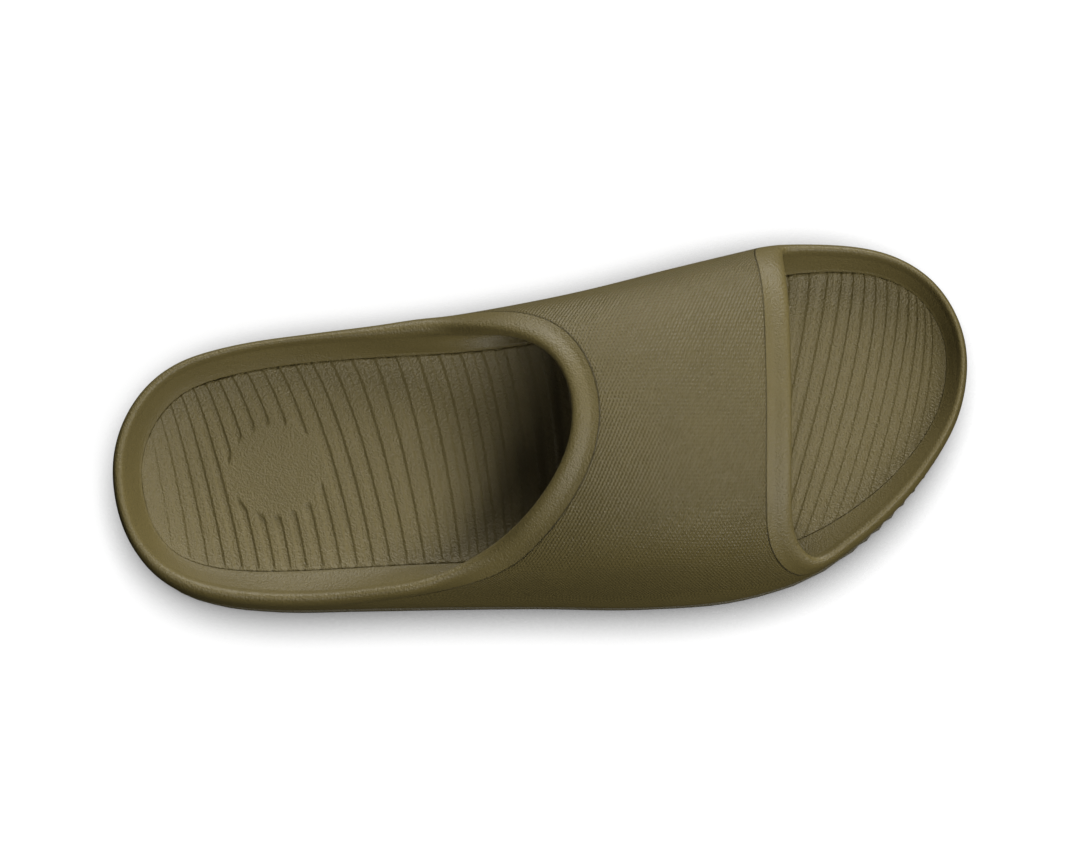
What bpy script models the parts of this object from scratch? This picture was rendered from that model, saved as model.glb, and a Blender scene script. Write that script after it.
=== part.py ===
"""Sport slide sandal, right foot: moulded tub and band, ribbed footbed and treaded outsole.

Run with: blender --background --python part.py
Lengths are metres. +Y runs from heel to toe, +X to the outer side of the foot, +Z up.
"""

import bisect
import functools
import math

import bmesh
import bpy
import numpy as np
from mathutils import Vector

# Driving sizes of the whole sandal
LENGTH = 0.288
BALL_WIDTH = 0.112

# Tub, rim and band
RIM_HEIGHT = 0.042
RIM_DEPTH = 0.009
WALL = 0.0046
BAND_HEIGHT = 0.074
BAND_BASE = 0.027
BAND_SHOULDER = 0.0022
BED_INSET = 0.0100

# Footbed and the recess that it sits in
BED_HEIGHT = 0.029
BED_STEP = 0.0009
BED_CUP = 0.0026
CUP_REACH = 0.017
FOOTBED_THICKNESS = 0.0035
RIB_HEIGHT = 0.0007
DISC_RADIUS = 0.0155
DISC_ALONG = 0.0548
DISC_ACROSS = 0.0005

# Outsole
OUTSOLE_THICKNESS = 0.0055
LUG_DEPTH = 0.0024
TOOTH_DEPTH = 0.0007
TOOTH_PITCH = 0.0056
TOE_LIP = 0.0009
TREAD_INSET = 0.0003
TREAD_TOP_INSET = 0.0024
TREAD_FOOT_INSET = 0.0020
RAND_WIDTH = 0.0092
RAND_DRAFT = 0.0005
TOE_SPRING = 0.0090
HEEL_SPRING = 0.0025

# Pieces that touch are modelled this far apart
GAP = 0.00035

SMOOTHING = 1

# Once round the sole from the heel tip by the inner side, toe and outer side.
# along and across: shares of LENGTH and BALL_WIDTH. rim_in: how far the rim's face stands inside
# the side of the sole, and thick: the rim's thickness, both shares of WALL. bed_in: how far
# the bed's edge lies inside the side, a share of BED_INSET. rim: share of RIM_HEIGHT. lip: share of TOE_LIP.
OUTLINE_COLUMNS = ("along", "across", "rim_in", "thick", "bed_in", "rim", "lip")
OUTLINE = (
    (0.002, 0.013, 0.43, 1.00, 1.04, 1.10, 0.0),
    (0.009, -0.116, 0.40, 1.00, 1.02, 1.09, 0.0),
    (0.026, -0.208, 0.35, 0.95, 1.00, 1.07, 0.0),
    (0.051, -0.284, 0.30, 0.90, 0.98, 1.05, 0.0),
    (0.089, -0.348, 0.26, 0.84, 0.96, 1.03, 0.0),
    (0.153, -0.379, 0.24, 0.76, 0.96, 1.01, 0.0),
    (0.250, -0.374, 0.24, 0.74, 0.96, 1.00, 0.0),
    (0.351, -0.354, 0.24, 1.15, 1.07, 1.05, 0.0),
    (0.451, -0.343, 0.24, 1.55, 1.30, 1.12, 0.0),
    (0.573, -0.342, 0.24, 0.95, 1.32, 1.00, 0.0),
    (0.694, -0.366, 0.24, 0.90, 1.10, 0.90, 0.0),
    (0.799, -0.371, 0.24, 0.86, 1.00, 0.87, 0.1),
    (0.876, -0.338, 0.24, 0.84, 0.88, 0.87, 0.5),
    (0.929, -0.286, 0.24, 0.80, 0.82, 0.88, 0.9),
    (0.976, -0.174, 0.22, 0.72, 0.74, 0.90, 1.0),
    (0.998, 0.014, 0.20, 0.68, 0.70, 0.91, 1.0),
    (0.978, 0.218, 0.20, 0.74, 0.75, 0.90, 1.0),
    (0.927, 0.381, 0.20, 0.82, 0.83, 0.88, 1.0),
    (0.851, 0.526, 0.20, 0.88, 1.06, 0.87, 0.6),
    (0.771, 0.611, 0.24, 0.95, 1.24, 0.88, 0.2),
    (0.694, 0.634, 0.60, 1.00, 1.28, 0.92, 0.0),
    (0.575, 0.604, 1.20, 1.00, 1.36, 1.05, 0.0),
    (0.451, 0.540, 1.60, 1.00, 1.38, 1.16, 0.0),
    (0.347, 0.491, 0.95, 1.00, 1.35, 1.10, 0.0),
    (0.250, 0.447, 0.16, 1.00, 1.25, 1.02, 0.0),
    (0.153, 0.400, 0.05, 1.02, 1.16, 1.01, 0.0),
    (0.089, 0.348, 0.12, 1.05, 1.08, 1.03, 0.0),
    (0.049, 0.290, 0.22, 1.05, 1.05, 1.05, 0.0),
    (0.024, 0.220, 0.30, 1.03, 1.04, 1.07, 0.0),
    (0.008, 0.128, 0.38, 1.00, 1.04, 1.09, 0.0),
)

# Along the shoe, as shares of LENGTH. bed: height of the footbed, a share of BED_HEIGHT.
# crown: height of the band's outside, a share of BAND_HEIGHT, and ridge: where its top line lies
# across, a share of BALL_WIDTH. Where there is no band its form is only a guide.
PROFILE_COLUMNS = ("along", "bed", "crown", "ridge")
PROFILE = (
    (0.000, 1.08, 0.56, 0.010),
    (0.120, 1.01, 0.60, 0.010),
    (0.250, 1.00, 0.66, 0.010),
    (0.380, 0.98, 0.77, 0.012),
    (0.450, 0.94, 0.90, 0.015),
    (0.500, 0.90, 0.965, 0.018),
    (0.560, 0.86, 1.00, 0.020),
    (0.620, 0.82, 0.98, 0.022),
    (0.690, 0.78, 0.91, 0.026),
    (0.750, 0.77, 0.85, 0.030),
    (0.810, 0.78, 0.775, 0.030),
    (0.900, 0.82, 0.66, 0.025),
    (1.000, 0.92, 0.60, 0.020),
)

# The band's two edges, a row for each strip across from the inner to the outer side:
# where the collar edge and the front edge lie along (share of LENGTH) and across (share of BALL_WIDTH).
EDGE_COLUMNS = ("collar_along", "collar_across", "front_along", "front_across")
EDGES = (
    (0.418, -0.305, 0.8090, -0.340),
    (0.452, -0.264, 0.8060, -0.276),
    (0.486, -0.222, 0.8030, -0.194),
    (0.519, -0.152, 0.7980, -0.110),
    (0.5350, -0.066, 0.7925, -0.030),
    (0.5380, 0.012, 0.7865, 0.056),
    (0.5335, 0.082, 0.7800, 0.144),
    (0.520, 0.162, 0.7730, 0.234),
    (0.491, 0.252, 0.7660, 0.326),
    (0.452, 0.330, 0.7605, 0.414),
    (0.406, 0.388, 0.7580, 0.508),
)

# Where the rim's edge turns up into the band's edges, along each side: the sole's side below it,
# then the edge itself, as shares of LENGTH
COLLAR_CORNERS = {"inner": (0.412, 0.388), "outer": (0.352, 0.336)}
FRONT_CORNERS = {"inner": (0.795, 0.822), "outer": (0.740, 0.776)}
FRONT_CORNER_RISE = 0.0020

# The band's section: roundness of its inner and outer halves
ROUND_INNER = 3.0
ROUND_OUTER = 2.1

# How many strips the body's surface has: heel and toe on each side, along the band and across it
HEEL_INNER, HEEL_OUTER = 10, 9
BAND_STRIPS = 6
TOE_INNER, TOE_OUTER = 7, 8
ACROSS_STRIPS = len(EDGES) + 1

# Rounded edge of rim and band, from the outer crease over the bead to the inner crease: back from the
# edge (share of RIM_DEPTH), and out of the outer face on the band and on the rim (shares of WALL)
BEAD_COLUMNS = ("back", "band", "rim")
BEAD = (
    (0.67, -0.02, 0.05),
    (0.24, 0.34, -0.02),
    (-0.03, -0.16, -0.34),
    (-0.03, -0.84, -0.84),
    (0.36, -1.00, -1.00),
)
# How much of the band's own edge shape the places beside a corner take, on the band and on the rim,
# and how much more wall the collar's first places have
BAND_BLEND = (0.55, 0.85)
RIM_BLEND = (0.3, 0.08)
COLLAR_EXTRA = (1.42, 1.25, 1.1)

# Points toward which the two openings' edges face, as shares of BALL_WIDTH, LENGTH and BAND_HEIGHT
COLLAR_MIDDLE = (0.0, 0.25, 1.6)
TOE_MIDDLE = (0.1, 0.89, 1.5)

# The tub's outer wall below its top line: height (share of the way up) and inset (share of BAND_SHOULDER)
WALL_COLUMNS = ("up", "inset")
WALL_ROWS = (
    (0.00, 1.0),
    (0.14, 0.2),
    (0.52, 0.0),
)
# The inner wall's bend between the rim and the bed: how far out and how far up it lies
BEND_OUT = 0.45
BEND_UP = 0.30
# How crisp the wall's foot and the rim's creases are
FOOT_CRISP = 0.6
INNER_CRISP = 0.8
OUTER_CRISP = 0.3

# Springs of the tread: where they begin (shares of LENGTH) and how fast they rise
TOE_SPRING_FROM = 0.72
TOE_SPRING_POWER = 1.8
HEEL_SPRING_TO = 0.075
HEEL_SPRING_POWER = 2.0

# Tread's side: where its upright part ends, shares of its thickness and of the lug depth
TREAD_SIDE_TOP = 0.80
TREAD_SIDE_FOOT = 0.75
# Where the teeth begin on each side, the plain part's spacing over that of the teeth, and its length
TEETH_FROM = {"inner": 0.90, "outer": 0.83}
PLAIN_SPACING = 0.95
PLAIN_LENGTH = 0.86
# How much smaller a lug is at its foot, across and along
LUG_TAPER = (0.93, 0.86)

# Lines where a groove of the footbed starts, as shares of LENGTH at the inner edge, the outer edge
# and the middle, and the groove's number
RIB_COLUMNS = ("inner", "outer", "middle", "count")
RIBS = (
    (0.0520, 0.0500, 0.0505, -1.0),
    (0.0660, 0.0680, 0.0684, 0.0),
    (0.0934, 0.1052, 0.1024, 2.0),
    (0.1226, 0.1434, 0.1378, 4.0),
    (0.1531, 0.1792, 0.1736, 6.0),
    (0.1875, 0.2156, 0.2104, 8.0),
    (0.2257, 0.2545, 0.2486, 10.0),
    (0.2646, 0.2917, 0.2872, 12.0),
    (0.3389, 0.3500, 0.3500, 15.0),
    (0.3872, 0.3903, 0.3962, 17.0),
    (0.4368, 0.4319, 0.4417, 19.0),
    (0.4872, 0.4733, 0.4875, 21.0),
    (0.5382, 0.5156, 0.5340, 23.0),
    (0.7100, 0.6400, 0.6900, 30.5),
    (0.8680, 0.7310, 0.8080, 37.0),
    (0.8940, 0.7640, 0.8410, 39.0),
    (0.9170, 0.8010, 0.8740, 41.0),
    (0.9410, 0.8420, 0.9020, 43.0),
    (0.9580, 0.8860, 0.9310, 45.0),
)
# Rows that round the footbed off behind the first groove and past the last, as shares of the way
HEEL_ROWS = (0.004, 0.03, 0.10, 0.22, 0.42, 0.68)
TOE_ROWS = (0.35, 0.62, 0.80, 0.91, 0.97, 0.996)
# Points of a row across the footbed, as shares of its width
ROW_SPREAD = (0.0, 0.05, 0.30, 0.70, 0.95, 1.0)
# One groove: where its two edges and its floor's two edges lie within the spacing, and whether it is cut there
GROOVE = ((0.00, 0.0), (0.10, 1.0), (0.42, 1.0), (0.52, 0.0))
# Along the footbed: how deep the grooves are, a share of RIB_HEIGHT
DEPTH_COLUMNS = ("along", "depth")
DEPTHS = (
    (0.00, 0.25),
    (0.05, 0.30),
    (0.12, 1.00),
    (0.88, 1.00),
    (0.97, 0.40),
    (1.00, 0.40),
)


def column(rows, names, name):
    """One named column of a table."""
    return np.array([row[names.index(name)] for row in rows], dtype=float)


class Curve:
    """A smooth curve through the points of a table."""

    def __init__(self, xs, ys):
        self.xs = [float(x) for x in xs]
        self.ys = [float(y) for y in ys]
        self.slopes = [float(slope) for slope in np.gradient(ys, xs)]

    def __call__(self, x):
        x = min(max(x, self.xs[0]), self.xs[-1])
        i = min(bisect.bisect_right(self.xs, x) - 1, len(self.xs) - 2)
        width = self.xs[i + 1] - self.xs[i]
        u = (x - self.xs[i]) / width
        return (
            (2 * u ** 3 - 3 * u ** 2 + 1) * self.ys[i]
            + (u ** 3 - 2 * u ** 2 + u) * width * self.slopes[i]
            + (3 * u ** 2 - 2 * u ** 3) * self.ys[i + 1]
            + (u ** 3 - u ** 2) * width * self.slopes[i + 1]
        )


def ease(x, start, end):
    """0 before start, 1 after end, smooth between."""
    u = min(max((x - start) / (end - start), 0.0), 1.0)
    return u * u * (3 - 2 * u)


PROFILE_CURVES = {
    name: Curve(column(PROFILE, PROFILE_COLUMNS, "along"), column(PROFILE, PROFILE_COLUMNS, name))
    for name in PROFILE_COLUMNS
}


def profile(name, y):
    """A column of the profile table at y."""
    return PROFILE_CURVES[name](y / LENGTH)


def bed_height(y):
    """Height of the footbed between its ribs."""
    return BED_HEIGHT * profile("bed", y)


def floor_height(y):
    """Height of the tread's underside: flat from heel to ball, sprung at both ends."""
    toe = max(y / LENGTH - TOE_SPRING_FROM, 0.0) / (1.0 - TOE_SPRING_FROM)
    heel = max(HEEL_SPRING_TO - y / LENGTH, 0.0) / HEEL_SPRING_TO
    return TOE_SPRING * toe ** TOE_SPRING_POWER + HEEL_SPRING * heel ** HEEL_SPRING_POWER


def body_bottom(y):
    """Height of the tub's underside, just above the outsole."""
    return floor_height(y) + OUTSOLE_THICKNESS + GAP


class Outline:
    """The closed outline table as smooth curves of one travelled length."""

    def __init__(self):
        rows = np.array(OUTLINE, dtype=float)
        rows[:, 0] *= LENGTH
        rows[:, 1] *= BALL_WIDTH
        reach = 3
        looped = np.vstack((rows[-reach:], rows, rows[:reach + 1]))
        steps = np.linalg.norm(np.diff(looped[:, :2], axis=0), axis=1)
        travel = np.concatenate(([0.0], np.cumsum(steps)))
        travel -= travel[reach]
        self.total = float(travel[reach + len(rows)])
        self.curves = {name: Curve(travel, looped[:, i]) for i, name in enumerate(OUTLINE_COLUMNS)}
        self.toe = self.find_toe()

    def read(self, name, t):
        """A column at travelled length t, counted from the heel tip by the inner side."""
        return self.curves[name](t % self.total)

    def point(self, t, inset=0.0):
        """Plan position (across, along) at t, moved inward by inset."""
        step = self.total * 1e-4
        here = np.array((self.read("across", t), self.read("along", t)))
        ahead = np.array((self.read("across", t + step), self.read("along", t + step)))
        behind = np.array((self.read("across", t - step), self.read("along", t - step)))
        run = (ahead - behind) / np.linalg.norm(ahead - behind)
        inward = np.array((run[1], -run[0]))
        return here + inward * inset, -inward

    def find_toe(self):
        """Travelled length of the foremost point."""
        ts = np.linspace(0.3, 0.7, 401) * self.total
        return float(ts[np.argmax([self.read("along", t) for t in ts])])

    def at(self, side, share):
        """Travelled length where one side reaches a share of LENGTH."""
        if side == "inner":
            low, high = 0.0, self.toe
        else:
            low, high = self.total, self.toe
        for _ in range(40):
            middle = (low + high) / 2
            if self.read("along", middle) < share * LENGTH:
                low = middle
            else:
                high = middle
        return (low + high) / 2


OUTLINE_CURVE = Outline()


@functools.lru_cache(maxsize=None)
def side_position(side, y):
    """How far across the sole's side lies at y."""
    return OUTLINE_CURVE.point(OUTLINE_CURVE.at(side, y / LENGTH))[0][0]


def shell(y, w):
    """The band's outer surface: w runs from 0 at the inner base over the top to 1 at the outer base."""
    ridge = BALL_WIDTH * profile("ridge", y)
    crown = BAND_HEIGHT * profile("crown", y)
    angle = math.pi * w
    if w < 0.5:
        reach = side_position("inner", y) + BAND_SHOULDER * 0.5 - ridge
        power = 2 / ROUND_INNER
    else:
        reach = side_position("outer", y) - BAND_SHOULDER - ridge
        power = 2 / ROUND_OUTER
    x = ridge + reach * abs(math.cos(angle)) ** power
    z = BAND_BASE + (crown - BAND_BASE) * max(math.sin(angle), 0.0) ** power
    return np.array((x, y, z))


def shell_normal(y, w):
    """Outward direction of the band's surface."""
    step = 0.0005
    along = shell(y + step, w) - shell(y - step, w)
    w = min(max(w, 0.02), 0.98)
    round_it = shell(y, w + 0.004) - shell(y, w - 0.004)
    normal = np.cross(round_it, along)
    normal /= np.linalg.norm(normal)
    outward = shell(y, w) - np.array((BALL_WIDTH * profile("ridge", y), y, BAND_BASE))
    return normal if normal @ outward > 0 else -normal


def shell_share(y, across):
    """The w at which the band's surface lies a given distance across."""
    low, high = 0.0, 1.0
    for _ in range(40):
        middle = (low + high) / 2
        if shell(y, middle)[0] < across:
            low = middle
        else:
            high = middle
    return (low + high) / 2


def cling(point, w):
    """The place (y, w) on the band's surface nearest to a point."""
    y = point[1]
    for _ in range(6):
        here = shell(y, w)
        by_y = (shell(y + 1e-4, w) - here) / 1e-4
        by_w = (shell(y, w + 1e-3) - here) / 1e-3
        step = np.linalg.lstsq(np.stack((by_y, by_w), axis=1), point - here, rcond=None)[0]
        y += step[0] * 0.8
        w = min(max(w + step[1] * 0.8, 0.01), 0.99)
    return y, w


def unit(vector):
    """The vector at length one."""
    return vector / np.linalg.norm(vector)


def tighten(points):
    """Move control points outward so that the smoothed closed curve passes through the given ones."""
    points = np.array(points)
    behind, ahead = np.roll(points, 1, axis=0), np.roll(points, -1, axis=0)
    return points + (2 * points - behind - ahead) / 6


def stations():
    """Travelled lengths of the strips round the sole, with the collar and front corners among them."""
    curve = OUTLINE_CURVE
    marks = (
        (0.0, HEEL_INNER),
        (curve.at("inner", COLLAR_CORNERS["inner"][0]), BAND_STRIPS),
        (curve.at("inner", FRONT_CORNERS["inner"][0]), TOE_INNER),
        (curve.toe, TOE_OUTER),
        (curve.at("outer", FRONT_CORNERS["outer"][0]), BAND_STRIPS),
        (curve.at("outer", COLLAR_CORNERS["outer"][0]), HEEL_OUTER),
        (curve.total, 0),
    )
    result = []
    for (start, count), (end, _) in zip(marks, marks[1:]):
        result += [start + (end - start) * k / count for k in range(count)]
    return result


def edge_stations(start, end, count):
    """Travelled lengths of the rim's own stations between its two corners."""
    return [start + (end - start) * k / count for k in range(count + 1)]


def rim_tips(lengths):
    """Top of the rim's outer face and its outward direction at each travelled length."""
    tips, normals = [], []
    for t in lengths:
        plan, outward = OUTLINE_CURVE.point(t, WALL * OUTLINE_CURVE.read("rim_in", t))
        tips.append(np.array((plan[0], plan[1], RIM_HEIGHT * OUTLINE_CURVE.read("rim", t))))
        normals.append(np.array((outward[0], outward[1], 0.0)))
    return tips, normals


def beside_corners(count, values, other):
    """A value for each place of an edge: given ones from both corners on, and another elsewhere."""
    row = [other] * count
    for i, value in enumerate(values):
        row[i] = row[-1 - i] = value
    return row


def bead_loops(tips, normals, thicks, blends, middle):
    """Rings from the outer crease to the inner crease round one opening, and where the band's sheet starts."""
    tips = np.array(tips)
    rings = [[] for _ in BEAD]
    backs = []
    for i, tip in enumerate(tips):
        run = unit(tips[(i + 1) % len(tips)] - tips[i - 1])
        normal = unit(normals[i] - run * (normals[i] @ run))
        toward = np.cross(normal, run)
        if toward @ (middle - tip) < 0:
            toward = -toward
        backs.append(tip - toward * RIM_DEPTH)
        for ring, (back, band, rim) in zip(rings, BEAD):
            out = rim + (band - rim) * blends[i]
            inside = back == BEAD[-1][0] or rim == BEAD[-2][2]
            ring.append(tip - toward * back * RIM_DEPTH + normal * out * WALL * (thicks[i] if inside else 1.0))
    return backs, [tighten(ring) for ring in rings]


def band_edge(name):
    """Tips, directions and surface shares of one edge of the band, from the inner to the outer side."""
    tips, normals, shares = [], [], []
    ys = column(EDGES, EDGE_COLUMNS, name + "_along") * LENGTH
    xs = column(EDGES, EDGE_COLUMNS, name + "_across") * BALL_WIDTH
    for y, x in zip(ys, xs):
        w = shell_share(y, x)
        tips.append(shell(y, w))
        normals.append(shell_normal(y, w))
        shares.append(w)
    return tips, normals, shares


class Cage:
    """Control mesh under construction."""

    def __init__(self):
        self.points = []
        self.faces = []
        self.creases = []

    def add(self, points):
        """Add points and return their numbers."""
        start = len(self.points)
        self.points += [tuple(float(c) for c in point) for point in points]
        return list(range(start, len(self.points)))

    def strip(self, one, other, closed=True):
        """Quads between two rows of points."""
        last = len(one) if closed else len(one) - 1
        for i in range(last):
            j = (i + 1) % len(one)
            self.faces.append((one[i], one[j], other[j], other[i]))

    def crease(self, row, weight, closed=True):
        """Keep an edge line sharp."""
        last = len(row) if closed else len(row) - 1
        self.creases += [(row[i], row[(i + 1) % len(row)], weight) for i in range(last)]

    def ladder(self, ring, heights, lift):
        """Close a ring with a floor: a middle line of points and quads out to both sides."""
        half = len(ring) // 2
        middles = [ring[0]]
        for i in range(1, half):
            inner, outer = self.points[ring[i]], self.points[ring[-i]]
            y = (inner[1] + outer[1]) / 2
            middles += self.add([((inner[0] + outer[0]) / 2, y, heights(y) + lift)])
        middles.append(ring[half])
        for i in range(half):
            j = i + 1
            near = [ring[i], ring[j], middles[j], middles[i]]
            far = [middles[i], middles[j], ring[-j], ring[-i]]
            self.faces += [tuple(dict.fromkeys(near)), tuple(dict.fromkeys(far))]

    def build(self, name):
        """Turn the control mesh into an object."""
        mesh = bpy.data.meshes.new(name)
        bm = bmesh.new()
        verts = [bm.verts.new(point) for point in self.points]
        for face in self.faces:
            bm.faces.new([verts[i] for i in face])
        layer = bm.edges.layers.float.new("crease_edge")
        for a, b, weight in self.creases:
            edge = bm.edges.get((verts[a], verts[b]))
            edge[layer] = weight
        bmesh.ops.recalc_face_normals(bm, faces=bm.faces)
        if bm.calc_volume(signed=True) < 0:
            bmesh.ops.reverse_faces(bm, faces=bm.faces)
        bm.to_mesh(mesh)
        bm.free()
        mesh.shade_smooth()
        obj = bpy.data.objects.new(name, mesh)
        bpy.context.scene.collection.objects.link(obj)
        return obj


def wall_ring(lengths, inset, height):
    """A ring of the tub's wall: inset and height are functions of travelled length and y."""
    ring = []
    for t in lengths:
        plan, _ = OUTLINE_CURVE.point(t, inset(t))
        ring.append(np.array((plan[0], plan[1], height(t, plan[1]))))
    return tighten(ring)


def slide_body():
    """Tub with its beaded rim and the hollow band over it, moulded whole."""
    curve = OUTLINE_CURVE
    cage = Cage()
    lengths = stations()
    count = len(lengths)
    front_in = HEEL_INNER + BAND_STRIPS
    front_out = front_in + TOE_INNER + TOE_OUTER
    collar_out = front_out + BAND_STRIPS

    collar_tips, collar_normals, collar_shares = band_edge("collar")
    front_tips, front_normals, front_shares = band_edge("front")

    heel_lengths = edge_stations(
        curve.at("outer", COLLAR_CORNERS["outer"][1]) - curve.total,
        curve.at("inner", COLLAR_CORNERS["inner"][1]), HEEL_OUTER + HEEL_INNER)
    heel_tips, heel_normals = rim_tips(heel_lengths)
    toe_lengths = edge_stations(
        curve.at("inner", FRONT_CORNERS["inner"][1]),
        curve.at("outer", FRONT_CORNERS["outer"][1]), TOE_INNER + TOE_OUTER)
    toe_tips, toe_normals = rim_tips(toe_lengths)
    for tip in (toe_tips[0], toe_tips[-1]):
        tip[2] += FRONT_CORNER_RISE

    edge_count = len(EDGES)
    whole = [1.0] * edge_count
    collar_thick = list(COLLAR_EXTRA) + whole[len(COLLAR_EXTRA):]
    band_blends = beside_corners(edge_count, BAND_BLEND, 1.0)
    heel_blends = beside_corners(len(heel_tips), RIM_BLEND, 0.0)
    toe_blends = beside_corners(len(toe_tips), RIM_BLEND, 0.0)
    heel_thick = [curve.read("thick", t) for t in heel_lengths]
    toe_thick = [curve.read("thick", t) for t in toe_lengths]
    scale = np.array((BALL_WIDTH, LENGTH, BAND_HEIGHT))
    collar_backs, collar_rings = bead_loops(
        heel_tips + collar_tips, heel_normals + collar_normals, heel_thick + collar_thick,
        heel_blends + band_blends, np.array(COLLAR_MIDDLE) * scale)
    toe_backs, toe_rings = bead_loops(
        toe_tips + front_tips[::-1], toe_normals + front_normals[::-1], toe_thick + whole,
        toe_blends + band_blends, np.array(TOE_MIDDLE) * scale)

    # Places (y, w) where the band's surface starts behind each edge
    across = len(heel_tips)
    collar_places = [cling(p, w) for p, w in zip(collar_backs[across:], collar_shares)]
    across = len(toe_tips)
    front_places = [cling(p, w) for p, w in zip(toe_backs[across:][::-1], front_shares)]

    # Outer wall rings from the bottom up to the rim's outer crease
    def lip(t):
        return TOE_LIP * curve.read("lip", t)

    top_points = {}
    heel_order = list(range(collar_out, count)) + list(range(0, HEEL_INNER + 1))
    toe_order = list(range(front_in, front_out + 1))
    collar_top = tighten(collar_backs[:len(heel_tips)] + [shell(*p) for p in collar_places])
    toe_top = tighten(toe_backs[:len(toe_tips)] + [shell(*p) for p in front_places[::-1]])
    for number, point in zip(heel_order, collar_top):
        top_points[number] = point
    for number, point in zip(toe_order, toe_top):
        top_points[number] = point
    for side, first, last in (("inner", HEEL_INNER, front_in), ("outer", front_out, collar_out)):
        inset = BAND_SHOULDER * (0.5 if side == "inner" else 1.0)
        for number in range(first + 1, last):
            share = (number - first) / (last - first)
            ends = top_points[first][2] * (1 - share) + top_points[last][2] * share
            dip = math.sin(math.pi * share) ** 0.5
            plan, _ = curve.point(lengths[number], inset)
            top_points[number] = np.array((plan[0], plan[1], ends + (BAND_BASE - ends) * dip))
    top = [top_points[i] for i in range(count)]

    def between(share):
        def height(t, y):
            number = min(range(count), key=lambda k: abs(lengths[k] - t))
            bottom = body_bottom(y)
            return bottom + (top[number][2] - bottom) * share
        return height

    foot_row, skirt_row, side_row = (
        cage.add(wall_ring(lengths, lambda t, inset=inset: lip(t) + BAND_SHOULDER * inset, between(up)))
        for up, inset in WALL_ROWS)
    top_row = cage.add(top)
    cage.strip(foot_row, skirt_row)
    cage.strip(skirt_row, side_row)
    cage.strip(side_row, top_row)

    # Band outside: a grid between the two edges
    def grid(ends_in, ends_out, first_column, last_column, surface):
        rows = [ends_in]
        for i in range(ACROSS_STRIPS - 1):
            inner_place, outer_place = collar_places[i], front_places[i]
            row = [first_column[i]]
            for j in range(1, BAND_STRIPS):
                share = j / BAND_STRIPS
                y = inner_place[0] * (1 - share) + outer_place[0] * share
                w = inner_place[1] * (1 - share) + outer_place[1] * share
                row += cage.add([surface(y, w)])
            rows.append(row + [last_column[i]])
        rows.append(ends_out)
        for one, other in zip(rows, rows[1:]):
            cage.strip(one, other, closed=False)
        return rows

    collar_first = cage.add(collar_top[len(heel_tips):])
    front_first = cage.add(toe_top[len(toe_tips):][::-1])
    base_in = top_row[HEEL_INNER:front_in + 1]
    base_out = top_row[front_out:collar_out + 1][::-1]
    outset = WALL * 0.1
    grid(base_in, base_out, collar_first, front_first,
         lambda y, w: shell(y, w) + shell_normal(y, w) * outset)

    # Inner wall's top: the rim's inner crease and, under the band, the lining's base
    inner_top = {}
    for number, point in zip(heel_order, collar_rings[-1]):
        inner_top[number] = point
    for number, point in zip(toe_order, toe_rings[-1]):
        inner_top[number] = point
    for first, last in ((HEEL_INNER, front_in), (front_out, collar_out)):
        for number in range(first + 1, last):
            share = (number - first) / (last - first)
            ends = inner_top[first][2] * (1 - share) + inner_top[last][2] * share
            dip = math.sin(math.pi * share) ** 0.5
            plan, _ = curve.point(lengths[number], WALL + BAND_SHOULDER)
            inner_top[number] = np.array((plan[0], plan[1], ends + (BAND_BASE - ends) * dip))
    lining_row = cage.add([inner_top[i] for i in range(count)])

    # Beads round both openings, from the outer crease to the inner crease
    heel_top = [top_row[i] for i in heel_order]
    toe_top_row = [top_row[i] for i in toe_order]
    collar_ring = heel_top + collar_first
    toe_ring = toe_top_row + front_first[::-1]
    collar_lining = cage.add(collar_rings[-1][len(heel_tips):])
    front_lining = cage.add(toe_rings[-1][len(toe_tips):][::-1])
    ends = (
        (collar_ring, collar_rings, [lining_row[i] for i in heel_order] + collar_lining),
        (toe_ring, toe_rings, [lining_row[i] for i in toe_order] + front_lining[::-1]),
    )
    for ring, loops, last in ends:
        for loop in loops[:-1]:
            following = cage.add(loop)
            cage.strip(ring, following)
            ring = following
        cage.strip(ring, last)
    cage.crease([lining_row[i] for i in heel_order], INNER_CRISP, closed=False)
    cage.crease([lining_row[i] for i in toe_order], INNER_CRISP, closed=False)
    cage.crease(collar_ring, OUTER_CRISP)
    cage.crease(toe_ring, OUTER_CRISP)

    # Band inside: the same grid, one wall's thickness further in
    grid(lining_row[HEEL_INNER:front_in + 1], lining_row[front_out:collar_out + 1][::-1],
         collar_lining, front_lining,
         lambda y, w: shell(y, w) - shell_normal(y, w) * WALL)

    # Inner wall down to the brink of the recess, and the recess
    def bed_in(t):
        return BED_INSET * curve.read("bed_in", t)

    def brink_height(t, y):
        return bed_height(y) + RIB_HEIGHT + BED_CUP + BED_STEP

    def slope_height(t, y):
        number = min(range(count), key=lambda k: abs(lengths[k] - t))
        low = brink_height(t, y)
        return low + (inner_top[number][2] - low) * BEND_UP

    slope = []
    for number, t in enumerate(lengths):
        plan, _ = curve.point(t, bed_in(t))
        outer = np.array(inner_top[number][:2])
        x, y = plan + (outer - plan) * BEND_OUT
        slope.append(np.array((x, y, slope_height(t, y))))
    slope_row = cage.add(tighten(slope))
    brink_row = cage.add(wall_ring(lengths, bed_in, brink_height))
    seat_row = cage.add(wall_ring(
        lengths, bed_in, lambda t, y: bed_height(y) - FOOTBED_THICKNESS - GAP))
    cage.strip(lining_row, slope_row)
    cage.strip(slope_row, brink_row)
    cage.strip(brink_row, seat_row)
    cage.crease(brink_row, 1.0)
    cage.crease(seat_row, 1.0)
    cage.crease(foot_row, FOOT_CRISP)
    cage.ladder(seat_row, bed_height, -FOOTBED_THICKNESS - GAP)
    cage.ladder(foot_row, body_bottom, 0.0)

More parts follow.
